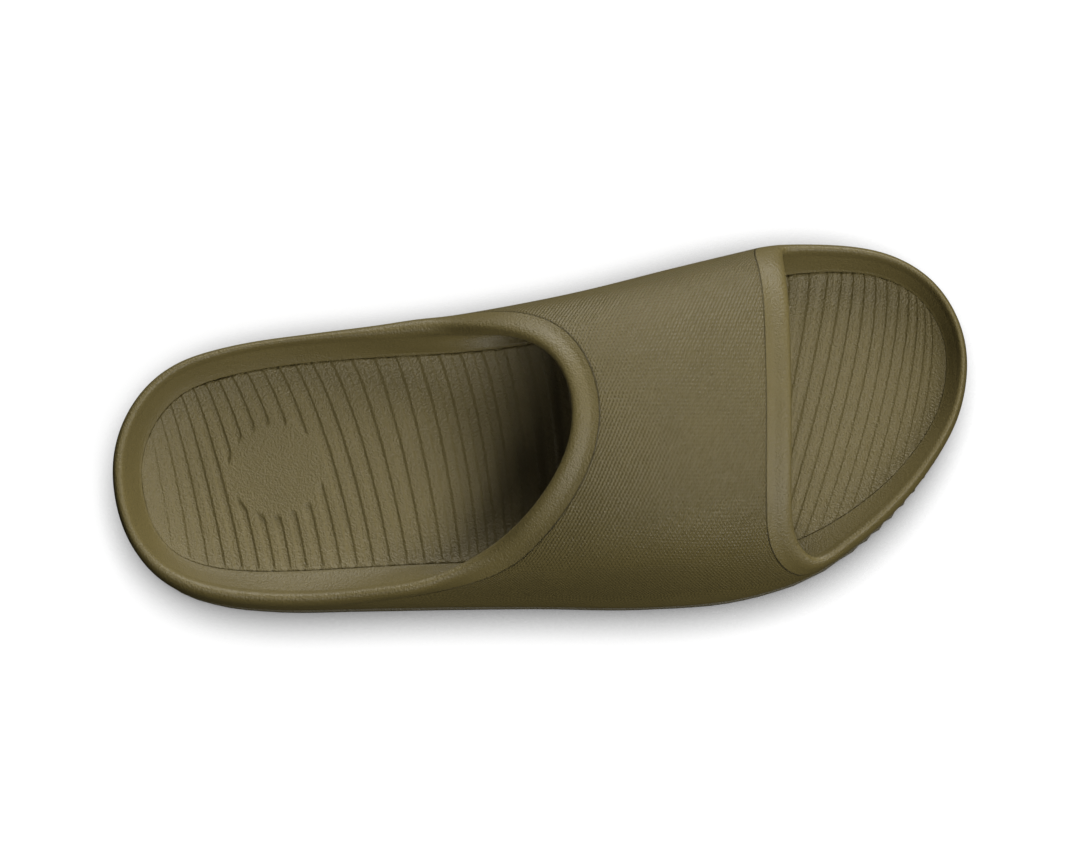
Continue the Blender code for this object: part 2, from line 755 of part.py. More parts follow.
    body = cage.build("slide_body")
    smoothing = body.modifiers.new("rounding", "SUBSURF")
    smoothing.levels = SMOOTHING
    smoothing.render_levels = SMOOTHING
    return body


def bed_side(side, y):
    """How far across the footbed's own edge lies at y, a gap inside the recess."""
    curve = OUTLINE_CURVE
    low, high = (0.0, curve.toe) if side == "inner" else (curve.total, curve.toe)
    for _ in range(30):
        middle = (low + high) / 2
        plan, _ = curve.point(middle, BED_INSET * curve.read("bed_in", middle) + GAP)
        if plan[1] < y:
            low = middle
        else:
            high = middle
    return plan


def bed_ends():
    """Where the footbed starts and ends along the shoe."""
    curve = OUTLINE_CURVE
    heel = curve.point(0.0, BED_INSET * curve.read("bed_in", 0.0) + GAP)[0][1]
    toe = curve.point(curve.toe, BED_INSET * curve.read("bed_in", curve.toe) + GAP)[0][1]
    return heel, toe


def bed_border():
    """Points round the footbed's edge."""
    curve = OUTLINE_CURVE
    lengths = np.linspace(0, curve.total, 400)
    return np.array([curve.point(t, BED_INSET * curve.read("bed_in", t))[0] for t in lengths])


BED_BORDER = bed_border()
DEPTH_CURVE = Curve(column(DEPTHS, DEPTH_COLUMNS, "along"), column(DEPTHS, DEPTH_COLUMNS, "depth"))


def bed_rise(x, y):
    """How much higher the footbed is near its edge."""
    gap = np.linalg.norm(BED_BORDER - np.array((x, y)), axis=1).min()
    return BED_CUP * max(1.0 - gap / CUP_REACH, 0.0) ** 2


def groove_depth(x, y, cut):
    """Depth of a groove, which is less toward heel and toe and stops round the disc."""
    distance = math.hypot(x - DISC_ACROSS, y - DISC_ALONG)
    clear = ease(distance, DISC_RADIUS, DISC_RADIUS * 1.08)
    return RIB_HEIGHT * cut * clear * DEPTH_CURVE(y / LENGTH)


def footbed_rows():
    """Rows across the footbed: where each meets the inner edge, the outer edge and the middle, and if it is cut."""
    heel, toe = bed_ends()
    counts = column(RIBS, RIB_COLUMNS, "count")
    places = [Curve(counts, column(RIBS, RIB_COLUMNS, name) * LENGTH) for name in ("inner", "outer", "middle")]
    first = [place(counts[0]) for place in places]
    rows = [[heel + (y - heel) * share for y in first] + [0.0] for share in HEEL_ROWS]
    for number in range(int(counts[0]), int(counts[-1])):
        rows += [[place(number + within) for place in places] + [cut] for within, cut in GROOVE]
    last = rows[-1][:3]
    rows += [[y + (toe - y) * share for y in last] + [0.0] for share in TOE_ROWS]
    return rows


def footbed():
    """Ribbed insole, lofted over a row across for each edge of each groove."""
    cage = Cage()
    tops, bottoms = [], []
    depth = FOOTBED_THICKNESS + RIB_HEIGHT + BED_CUP
    for inner_y, outer_y, middle_y, cut in footbed_rows():
        inner = bed_side("inner", inner_y)
        outer = bed_side("outer", outer_y)
        bow = middle_y - (inner[1] + outer[1]) / 2
        top = []
        for w in ROW_SPREAD:
            x = inner[0] * (1 - w) + outer[0] * w
            y = inner[1] * (1 - w) + outer[1] * w + bow * 4 * w * (1 - w)
            drop = 0.0 if w in (0.0, 1.0) else groove_depth(x, y, cut)
            top.append((x, y, bed_height(y) + RIB_HEIGHT + bed_rise(x, y) - drop))
        bottom = [(x, y, z - depth) for x, y, z in (top[0], top[-1])]
        tops.append(cage.add(top))
        bottoms.append(cage.add(bottom))
    for rows in (tops, bottoms):
        for one, other in zip(rows, rows[1:]):
            cage.strip(one, other, closed=False)
    for side in (0, -1):
        cage.strip([row[side] for row in tops], [row[side] for row in bottoms], closed=False)
    for end in (0, -1):
        cage.faces.append(tuple(tops[end] + bottoms[end][::-1]))
    return cage.build("footbed")


def outsole_lengths():
    """Travelled lengths round the outsole: close together at the toothed toe, wide elsewhere."""
    curve = OUTLINE_CURVE
    halves = []
    for side, tip in (("inner", 0.0), ("outer", curve.total)):
        start = curve.at(side, TEETH_FROM[side])
        teeth = 2 * max(round(abs(curve.toe - start) / TOOTH_PITCH), 1)
        halves.append((tip, start, teeth))
    teeth = max(half[2] for half in halves)
    plain = round(LENGTH * PLAIN_LENGTH / (TOOTH_PITCH * PLAIN_SPACING)) // 2 * 2
    result = []
    for tip, start, _ in halves:
        row = [tip + (start - tip) * k / plain for k in range(plain)]
        row += [start + (curve.toe - start) * k / teeth for k in range(teeth)]
        result.append(row)
    inner, outer = result
    return inner + [curve.toe] + outer[:0:-1]


def outsole():
    """Tread: toothed toe edge, transverse lugs underneath, sprung at heel and toe."""
    curve = OUTLINE_CURVE
    lengths = outsole_lengths()
    count = len(lengths)

    def ring(inset, lift, toothed):
        points = []
        for number, t in enumerate(lengths):
            tooth = TOOTH_DEPTH * (number % 2) * curve.read("lip", t) if toothed else 0.0
            plan, _ = curve.point(t, inset + tooth)
            points.append((plan[0], plan[1], floor_height(plan[1]) + lift))
        return points

    cage = Cage()
    top = cage.add(ring(TREAD_TOP_INSET, OUTSOLE_THICKNESS, False))
    upper = cage.add(ring(TREAD_INSET, OUTSOLE_THICKNESS * TREAD_SIDE_TOP, True))
    lower = cage.add(ring(TREAD_INSET, LUG_DEPTH * TREAD_SIDE_FOOT, True))
    under = cage.add(ring(TREAD_FOOT_INSET, 0.0, True))
    rand = cage.add(ring(RAND_WIDTH, 0.0, False))
    web = cage.add(ring(RAND_WIDTH + RAND_DRAFT, LUG_DEPTH, False))
    for one, other in ((top, upper), (upper, lower), (lower, under), (under, rand), (rand, web)):
        cage.strip(one, other)
    cage.ladder(top, floor_height, OUTSOLE_THICKNESS)

    # Lugs across between the rand's two sides, with open channels between them
    half = count // 2
    middles = [web[0]]
    for i in range(1, half):
        inner, outer = cage.points[web[i]], cage.points[web[-i]]
        y = (inner[1] + outer[1]) / 2
        middles += cage.add([((inner[0] + outer[0]) / 2, y, floor_height(y) + LUG_DEPTH)])
    middles.append(web[half])
    for i in range(half):
        j = i + 1
        ends = i == 0 or j == half
        raised = not ends and i % 2 == 0
        for one in ((web[i], web[j], middles[j], middles[i]), (middles[i], middles[j], web[-j], web[-i])):
            face = list(dict.fromkeys(one))
            if raised:
                low = []
                for corner in face:
                    x, y, _ = cage.points[corner]
                    low.append((x, y))
                centre = np.mean(low, axis=0)
                low_row = cage.add([
                    (*(centre + (np.array((x, y)) - centre) * LUG_TAPER), floor_height(y)) for x, y in low])
                cage.strip(face, low_row)
                cage.faces.append(tuple(low_row))
            else:
                cage.faces.append(tuple(face))
    return cage.build("outsole")


def material(name, colour, roughness):
    """A plain moulded finish."""
    mat = bpy.data.materials.new(name)
    mat.use_nodes = True
    shader = mat.node_tree.nodes["Principled BSDF"]
    shader.inputs["Base Color"].default_value = (*colour, 1.0)
    shader.inputs["Roughness"].default_value = roughness
    shader.inputs["Metallic"].default_value = 0.0
    return mat


def stand_at_centre(objects):
    """Put the middle of the underside of the whole sandal at the origin."""
    bpy.context.view_layer.update()
    graph = bpy.context.evaluated_depsgraph_get()
    corners = []
    for obj in objects:
        evaluated = obj.evaluated_get(graph)
        corners += [obj.matrix_world @ Vector(corner) for corner in evaluated.bound_box]
    low = [min(corner[axis] for corner in corners) for axis in range(3)]
    high = [max(corner[axis] for corner in corners) for axis in range(3)]
    shift = Vector((-(low[0] + high[0]) / 2, -(low[1] + high[1]) / 2, -low[2]))
    for obj in objects:
        obj.location = shift
    return shift


def main():
    for obj in list(bpy.data.objects):
        bpy.data.objects.remove(obj, do_unlink=True)
    pieces = (
        (slide_body(), material("body_foam", (0.148, 0.118, 0.052), 0.55)),
        (footbed(), material("footbed_foam", (0.140, 0.112, 0.050), 0.60)),
        (outsole(), material("tread_rubber", (0.130, 0.104, 0.047), 0.60)),
    )
    for obj, finish in pieces:
        obj.data.materials.append(finish)
    shift = stand_at_centre([obj for obj, _ in pieces])
    print("origin moved by", tuple(round(value, 5) for value in shift))


main()
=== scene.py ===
"""Looks of a moulded foam slide sandal: smooth body, ribbed footbed, toothed tread, studio stage."""

import bisect
import functools
import math

import bmesh
import bpy
import numpy as np
from mathutils import Matrix, Vector


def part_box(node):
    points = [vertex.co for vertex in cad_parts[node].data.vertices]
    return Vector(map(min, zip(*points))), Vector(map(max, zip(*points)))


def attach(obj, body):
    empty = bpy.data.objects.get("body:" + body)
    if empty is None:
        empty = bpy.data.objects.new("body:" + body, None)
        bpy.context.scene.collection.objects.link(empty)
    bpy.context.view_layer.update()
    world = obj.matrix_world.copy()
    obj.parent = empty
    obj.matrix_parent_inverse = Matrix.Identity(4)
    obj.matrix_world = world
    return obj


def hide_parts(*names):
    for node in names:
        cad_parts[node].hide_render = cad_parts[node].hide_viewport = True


bl_info = {
    "name": "Moulded Slide Sandal",
    "version": (1, 0, 0),
    "blender": (4, 5, 0),
    "location": "3D View > Sidebar > Slide",
    "description": "Builds the foam slide sandal's surfaces, finishes and studio stage",
    "category": "Object",
}

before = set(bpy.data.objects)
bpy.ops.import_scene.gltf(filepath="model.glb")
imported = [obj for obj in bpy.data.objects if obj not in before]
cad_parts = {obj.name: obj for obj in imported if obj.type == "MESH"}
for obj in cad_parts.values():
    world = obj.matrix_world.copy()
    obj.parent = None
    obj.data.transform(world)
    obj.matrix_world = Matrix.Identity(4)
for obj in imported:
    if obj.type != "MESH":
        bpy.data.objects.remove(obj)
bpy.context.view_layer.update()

# The shape's tables. Lengths are shares of the sizes in the property groups below.

# Once round the sole from the heel tip by the inner side, toe and outer side.
OUTLINE_COLUMNS = ("along", "across", "rim_in", "thick", "bed_in", "rim", "lip")
OUTLINE = (
    (0.002, 0.013, 0.43, 1.00, 1.04, 1.10, 0.0),
    (0.009, -0.116, 0.40, 1.00, 1.02, 1.09, 0.0),
    (0.026, -0.208, 0.35, 0.95, 1.00, 1.07, 0.0),
    (0.051, -0.284, 0.30, 0.90, 0.98, 1.05, 0.0),
    (0.089, -0.348, 0.26, 0.84, 0.96, 1.03, 0.0),
    (0.153, -0.379, 0.24, 0.76, 0.96, 1.01, 0.0),
    (0.250, -0.374, 0.24, 0.74, 0.96, 1.00, 0.0),
    (0.351, -0.354, 0.24, 1.15, 1.07, 1.05, 0.0),
    (0.451, -0.343, 0.24, 1.55, 1.30, 1.12, 0.0),
    (0.573, -0.342, 0.24, 0.95, 1.32, 1.00, 0.0),
    (0.694, -0.366, 0.24, 0.90, 1.10, 0.90, 0.0),
    (0.799, -0.371, 0.24, 0.86, 1.00, 0.87, 0.1),
    (0.876, -0.338, 0.24, 0.84, 0.88, 0.87, 0.5),
    (0.929, -0.286, 0.24, 0.80, 0.82, 0.88, 0.9),
    (0.976, -0.174, 0.22, 0.72, 0.74, 0.90, 1.0),
    (0.998, 0.014, 0.20, 0.68, 0.70, 0.91, 1.0),
    (0.978, 0.218, 0.20, 0.74, 0.75, 0.90, 1.0),
    (0.927, 0.381, 0.20, 0.82, 0.83, 0.88, 1.0),
    (0.851, 0.526, 0.20, 0.88, 1.06, 0.87, 0.6),
    (0.771, 0.611, 0.24, 0.95, 1.24, 0.88, 0.2),
    (0.694, 0.634, 0.60, 1.00, 1.28, 0.92, 0.0),
    (0.575, 0.604, 1.20, 1.00, 1.36, 1.05, 0.0),
    (0.451, 0.540, 1.60, 1.00, 1.38, 1.16, 0.0),
    (0.347, 0.491, 0.95, 1.00, 1.35, 1.10, 0.0),
    (0.250, 0.447, 0.16, 1.00, 1.25, 1.02, 0.0),
    (0.153, 0.400, 0.05, 1.02, 1.16, 1.01, 0.0),
    (0.089, 0.348, 0.12, 1.05, 1.08, 1.03, 0.0),
    (0.049, 0.290, 0.22, 1.05, 1.05, 1.05, 0.0),
    (0.024, 0.220, 0.30, 1.03, 1.04, 1.07, 0.0),
    (0.008, 0.128, 0.38, 1.00, 1.04, 1.09, 0.0),
)

# Along the shoe: height of the bed, height of the band's crown, and where its top line lies across
PROFILE_COLUMNS = ("along", "bed", "crown", "ridge")
PROFILE = (
    (0.000, 1.08, 0.56, 0.010),
    (0.120, 1.01, 0.60, 0.010),
    (0.250, 1.00, 0.66, 0.010),
    (0.380, 0.98, 0.77, 0.012),
    (0.450, 0.94, 0.90, 0.015),
    (0.500, 0.90, 0.965, 0.018),
    (0.560, 0.86, 1.00, 0.020),
    (0.620, 0.82, 0.98, 0.022),
    (0.690, 0.78, 0.91, 0.026),
    (0.750, 0.77, 0.85, 0.030),
    (0.810, 0.78, 0.775, 0.030),
    (0.900, 0.82, 0.66, 0.025),
    (1.000, 0.92, 0.60, 0.020),
)

# The band's two edges, a row for each strip across from the inner to the outer side
EDGE_COLUMNS = ("collar_along", "collar_across", "front_along", "front_across")
EDGES = (
    (0.418, -0.305, 0.8090, -0.340),
    (0.452, -0.264, 0.8060, -0.276),
    (0.486, -0.222, 0.8030, -0.194),
    (0.519, -0.152, 0.7980, -0.110),
    (0.5350, -0.066, 0.7925, -0.030),
    (0.5380, 0.012, 0.7865, 0.056),
    (0.5335, 0.082, 0.7800, 0.144),
    (0.520, 0.162, 0.7730, 0.234),
    (0.491, 0.252, 0.7660, 0.326),
    (0.452, 0.330, 0.7605, 0.414),
    (0.406, 0.388, 0.7580, 0.508),
)

# Where the rim turns up into the band's edges: the sole's side below it, then the edge itself
COLLAR_CORNERS = {"inner": (0.412, 0.388), "outer": (0.352, 0.336)}
FRONT_CORNERS = {"inner": (0.795, 0.822), "outer": (0.740, 0.776)}
FRONT_CORNER_RISE = 0.0020
ROUND_INNER = 3.0
ROUND_OUTER = 2.1

# Strips of the body's control surface
HEEL_INNER, HEEL_OUTER = 10, 9
BAND_STRIPS = 6
TOE_INNER, TOE_OUTER = 7, 8
ACROSS_STRIPS = len(EDGES) + 1

# The body's side rows: share of the way up from the tread to the rim, and the skirt's inset in shoulders
SKIRT_ROW = (0.14, 0.2)
SIDE_ROW = 0.52
FOOT_CRISP = 0.6
# How far the woven panel stands out of the band's surface, as a share of the wall
PANEL_PROUD = 0.1
# The tub's inner slope: one row between the brink and the lining, by its share of the way in and up
SLOPE_ROW = (0.45, 0.30)
# Where the tread leaves the floor and the run from there, as shares of the length, and the curve's power
TOE_SPRING = (0.72, 0.28, 1.8)
HEEL_SPRING = (0.075, 0.075, 2)
# Points above the openings, to tell the way in from an edge: shares of width, length and band height
COLLAR_MIDDLE = (0.0, 0.25, 1.6)
TOE_MIDDLE = (0.1, 0.89, 1.5)
# Section of the band over which lengths across it are measured for the weave
WEAVE_ALONG = 0.65
# The tread stands inside the outline by this, and the bed inside its recess by the seam
TREAD_INSET = 0.0003
SEAM = 0.00005

# Rounded edge round both openings, from the panel's border to the lining: back from the edge (share of
# edge depth), out of the face on the band and on the rim (shares of wall), and how crisp the line is
BEAD_COLUMNS = ("back", "band", "rim", "crisp")
BEAD = (
    (1.00, 0.07, 0.06, 0.7),
    (0.96, 0.01, 0.06, 0.4),
    (0.84, -0.03, 0.06, 0.0),
    (0.66, -0.05, 0.05, 0.3),
    (0.47, 0.06, 0.03, 0.0),
    (0.27, 0.16, -0.03, 0.0),
    (0.07, 0.10, -0.16, 0.0),
    (-0.03, -0.16, -0.36, 0.25),
    (-0.03, -0.80, -0.78, 0.0),
    (0.36, -1.00, -1.00, 0.8),
)
# How much of the band's own edge shape the places beside a corner take, on its inner and outer side and
# on the rim, and how much more wall the collar's first places have
INNER_BLEND = (0.05, 0.20, 0.50, 0.85)
OUTER_BLEND = (0.55, 0.85)
RIM_BLEND = (0.20, 0.05)
COLLAR_EXTRA = (1.42, 1.25, 1.1)

# Lines where a groove starts: at the inner edge, the outer edge and the middle, and its number
RIB_COLUMNS = ("inner", "outer", "middle", "count")
RIBS = (
    (0.0520, 0.0500, 0.0505, -1.0),
    (0.0660, 0.0680, 0.0684, 0.0),
    (0.0934, 0.1052, 0.1024, 2.0),
    (0.1226, 0.1434, 0.1378, 4.0),
    (0.1531, 0.1792, 0.1736, 6.0),
    (0.1875, 0.2156, 0.2104, 8.0),
    (0.2257, 0.2545, 0.2486, 10.0),
    (0.2646, 0.2917, 0.2872, 12.0),
    (0.3389, 0.3500, 0.3500, 15.0),
    (0.3872, 0.3903, 0.3962, 17.0),
    (0.4368, 0.4319, 0.4417, 19.0),
    (0.4872, 0.4733, 0.4875, 21.0),
    (0.5382, 0.5156, 0.5340, 23.0),
    (0.7100, 0.6400, 0.6900, 30.5),
    (0.8680, 0.7310, 0.8080, 37.0),
    (0.8940, 0.7640, 0.8410, 39.0),
    (0.9170, 0.8010, 0.8740, 41.0),
    (0.9410, 0.8420, 0.9020, 43.0),
    (0.9560, 0.8840, 0.9310, 45.0),
    (0.9670, 0.9280, 0.9560, 47.0),
)
# Bow of a groove between its ends and the middle, and how far the bow leans to the inner side
BOW = 4.06
LEAN = 0.8
# Where the grooves reach their full depth at the heel and grow shallower at the toe
DEEP_HEEL = (0.25, 0.05, 0.13)
DEEP_TOE = (0.45, 0.60, 0.80)
STEPS_A_GROOVE = 15
BED_COLUMNS = 88
# Plain border of the bed: beside the grooves' ends, and at the heel and toe
BORDER_SIDE = 0.0006
BORDER_TIP = 0.002
# Rows of the plain bed before the first groove and after the last, as shares of the way
HEEL_ROWS = (0.002, 0.012, 0.03, 0.06, 0.10, 0.15, 0.22, 0.31, 0.42, 0.55, 0.68, 0.84)
TOE_ROWS = (0.30, 0.50, 0.66, 0.80, 0.90, 0.97, 0.998)

# Where the teeth start on each side, as shares of the length
TEETH_FROM = {"inner": 0.90, "outer": 0.83}
# Rings of the tread from its top edge down and in to the channels between the lugs: inset in shoulders and
# in metres, height in tread thicknesses and in lug depths, and whether the teeth cut it
TREAD_RINGS = (
    (1.1, 0.0, 1.00, 0.00, 0),
    (0.0, TREAD_INSET, 0.80, 0.00, 1),
    (0.0, TREAD_INSET, 0.00, 0.75, 1),
    (0.9, 0.0, 0.00, 0.00, 1),
    (4.2, 0.0, 0.00, 0.00, 0),
    (4.4, 0.0, 0.00, 1.00, 0),
)
# Size of a lug's face beside its foot, across and along
LUG_TAPER = (0.93, 0.86)
# The tread's plain sides: their length as a share of the sole's, and their pitch as a share of the teeth's
PLAIN_SHARE = 0.86
PLAIN_PITCH = 0.95

# Softboxes: name, place, size and the property that holds its power
LAMPS = (
    ("key_softbox", (-1.10, 0.45, 0.70), (0.9, 0.7), "key"),
    ("side_softbox", (0.70, 0.40, 1.05), (0.9, 0.7), "side"),
    ("toe_softbox", (0.35, 1.15, 0.50), (0.7, 0.5), "toe"),
    ("rim_softbox", (-1.30, 0.10, 0.25), (1.2, 0.5), "rim"),
)
# Middle of the picture, its scale and width, and half the side of the floor
AIM = Vector((-0.0114, 0.0, 0.025))
PIXELS_A_METRE = 3009.0
PICTURE_WIDTH = 1080
FLOOR_REACH = 3.0


def srgb(text):
    """A hex colour as linear red, green and blue."""
    channels = [int(text[i:i + 2], 16) / 255 for i in (1, 3, 5)]
    return tuple(c / 12.92 if c <= 0.04045 else ((c + 0.055) / 1.055) ** 2.4 for c in channels)


def metres(name, description, default):
    """A length that a user may change."""
    return bpy.props.FloatProperty(name=name, description=description, default=default, unit="LENGTH")


def watts(name, description, default):
    """A lamp's power that a user may change."""
    return bpy.props.FloatProperty(name=name, description=description, default=default, unit="POWER")


def degrees(name, description, default):
    """An angle that a user may change."""
    return bpy.props.FloatProperty(
        name=name, description=description, default=math.radians(default), unit="ROTATION")


class SlideBodySizes(bpy.types.PropertyGroup):
    """Sizes of the moulded body."""

    length: metres("Length", "Heel to toe over the sole", 0.288)
    ball_width: metres("Ball width", "Greatest width of the sole", 0.112)
    rim_height: metres("Rim height", "Height of the rim at the sides", 0.042)
    rim_depth: metres("Edge depth", "From an edge back to its crease", 0.009)
    wall: metres("Wall", "Thickness of band and rim", 0.0046)
    band_height: metres("Band height", "Top of the band over the floor", 0.074)
    band_base: metres("Band base", "Height at which the band starts", 0.027)
    shoulder: metres("Shoulder", "How far the band stands inside the sole", 0.0022)
    toe_lip: metres("Toe lip", "How far the tread stands out at the toe", 0.0014)
    toe_spring: metres("Toe spring", "Rise of the tread at the toe", 0.009)
    heel_spring: metres("Heel spring", "Rise of the tread at the heel", 0.0025)
    gap: metres("Gap", "Room between pieces that touch", 0.00035)
    smoothing: bpy.props.IntProperty(
        name="Smoothing", description="Subdivision steps of the body", default=3, min=1, max=4)


class SlideBedSizes(bpy.types.PropertyGroup):
    """Sizes of the ribbed footbed."""

    inset: metres("Inset", "Bed's edge inside the sole's side", 0.010)
    height: metres("Height", "Bed over the floor at the heel", 0.029)
    step: metres("Step", "Bed below the brink of its recess", 0.0009)
    brink_edge: metres("Brink edge", "Bevel round the brink of the recess", 0.0006)
    thickness: metres("Thickness", "Thickness between ribs", 0.0035)
    rib_height: metres("Rib height", "Ribs over the grooves", 0.0007)
    groove_depth: metres("Groove depth", "Depth of the grooves as drawn", 0.00078)
    groove: bpy.props.FloatProperty(
        name="Groove", description="Groove width as a share of the spacing", default=0.52, min=0.1, max=0.9)
    cup: metres("Cup", "Rise of the bed toward its edge", 0.0026)
    cup_reach: metres("Cup reach", "Width over which the bed rises", 0.017)
    disc_radius: metres("Disc radius", "Plain disc under the heel", 0.0155)
    disc_along: metres("Disc along", "Disc's middle from the heel tip", 0.0548)
    disc_across: metres("Disc across", "Disc's middle from the centre line", 0.0005)


class SlideTreadSizes(bpy.types.PropertyGroup):
    """Sizes of the tread."""

    thickness: metres("Thickness", "Tread with its lugs", 0.0055)
    lug_depth: metres("Lug depth", "Channels between the lugs", 0.0024)
    tooth_depth: metres("Tooth depth", "Teeth round the toe", 0.0011)
    tooth_pitch: metres("Tooth pitch", "Spacing of the teeth", 0.0056)


class SlideFinishes(bpy.types.PropertyGroup):
    """Colours of the foam and the rubber."""

    body: bpy.props.FloatVectorProperty(
        name="Body", description="Olive foam of tub and band", subtype="COLOR", default=srgb("#594F2C"))
    bed: bpy.props.FloatVectorProperty(
        name="Footbed", description="Olive foam of the ribbed bed", subtype="COLOR", default=srgb("#5D5331"))
    # The tread's dark tone is partly painted shade, deepened to darken the bottom of the outer side
    tread: bpy.props.FloatVectorProperty(
        name="Tread", description="Olive rubber of the tread", subtype="COLOR", default=srgb("#3A341E"))


class SlideStage(bpy.types.PropertyGroup):
    """Camera and light."""

    distance: metres("Camera distance", "Camera to the sandal's middle", 1.2)
    tilt: degrees("Camera tilt", "Lean toward the outer side", 7)
    roll: degrees("Camera roll", "Turn of the toe in the picture", 11)
    key: watts("Key power", "Softbox on the inner side", 18.5)
    side: watts("Side power", "Softbox on the outer side", 17.0)
    toe: watts("Toe power", "Softbox beyond the toe", 3.4)
    rim: watts("Rim power", "Low softbox on the inner side", 10.0)
    ambient: bpy.props.FloatProperty(
        name="Ambient", description="Even light from above", default=0.12)


def column(rows, names, name):
    """One named column of a table."""
    return np.array([row[names.index(name)] for row in rows], dtype=float)


class Curve:
    """A smooth curve through the points of a table."""

    def __init__(self, xs, ys):
        self.xs = [float(x) for x in xs]
        self.ys = [float(y) for y in ys]
        self.slopes = [float(slope) for slope in np.gradient(ys, xs)]

    def __call__(self, x):
        x = min(max(x, self.xs[0]), self.xs[-1])
        i = min(bisect.bisect_right(self.xs, x) - 1, len(self.xs) - 2)
        width = self.xs[i + 1] - self.xs[i]
        u = (x - self.xs[i]) / width
        return (
            (2 * u ** 3 - 3 * u ** 2 + 1) * self.ys[i]
            + (u ** 3 - 2 * u ** 2 + u) * width * self.slopes[i]
            + (3 * u ** 2 - 2 * u ** 3) * self.ys[i + 1]
            + (u ** 3 - u ** 2) * width * self.slopes[i + 1]
        )


def ease(x, start, end):
    """0 before start, 1 after end, smooth between."""
    u = min(max((x - start) / (end - start), 0.0), 1.0)
    return u * u * (3 - 2 * u)


def unit(vector):
    """The vector at length one."""
    return vector / np.linalg.norm(vector)


def tighten(points):
    """Move control points outward so that the subdivided closed curve, which weighs a point 4 to its
    neighbours' 1 each in 6, passes through the given ones.
    """
    points = np.array(points)
    behind, ahead = np.roll(points, 1, axis=0), np.roll(points, -1, axis=0)
    return points + (2 * points - behind - ahead) / 6


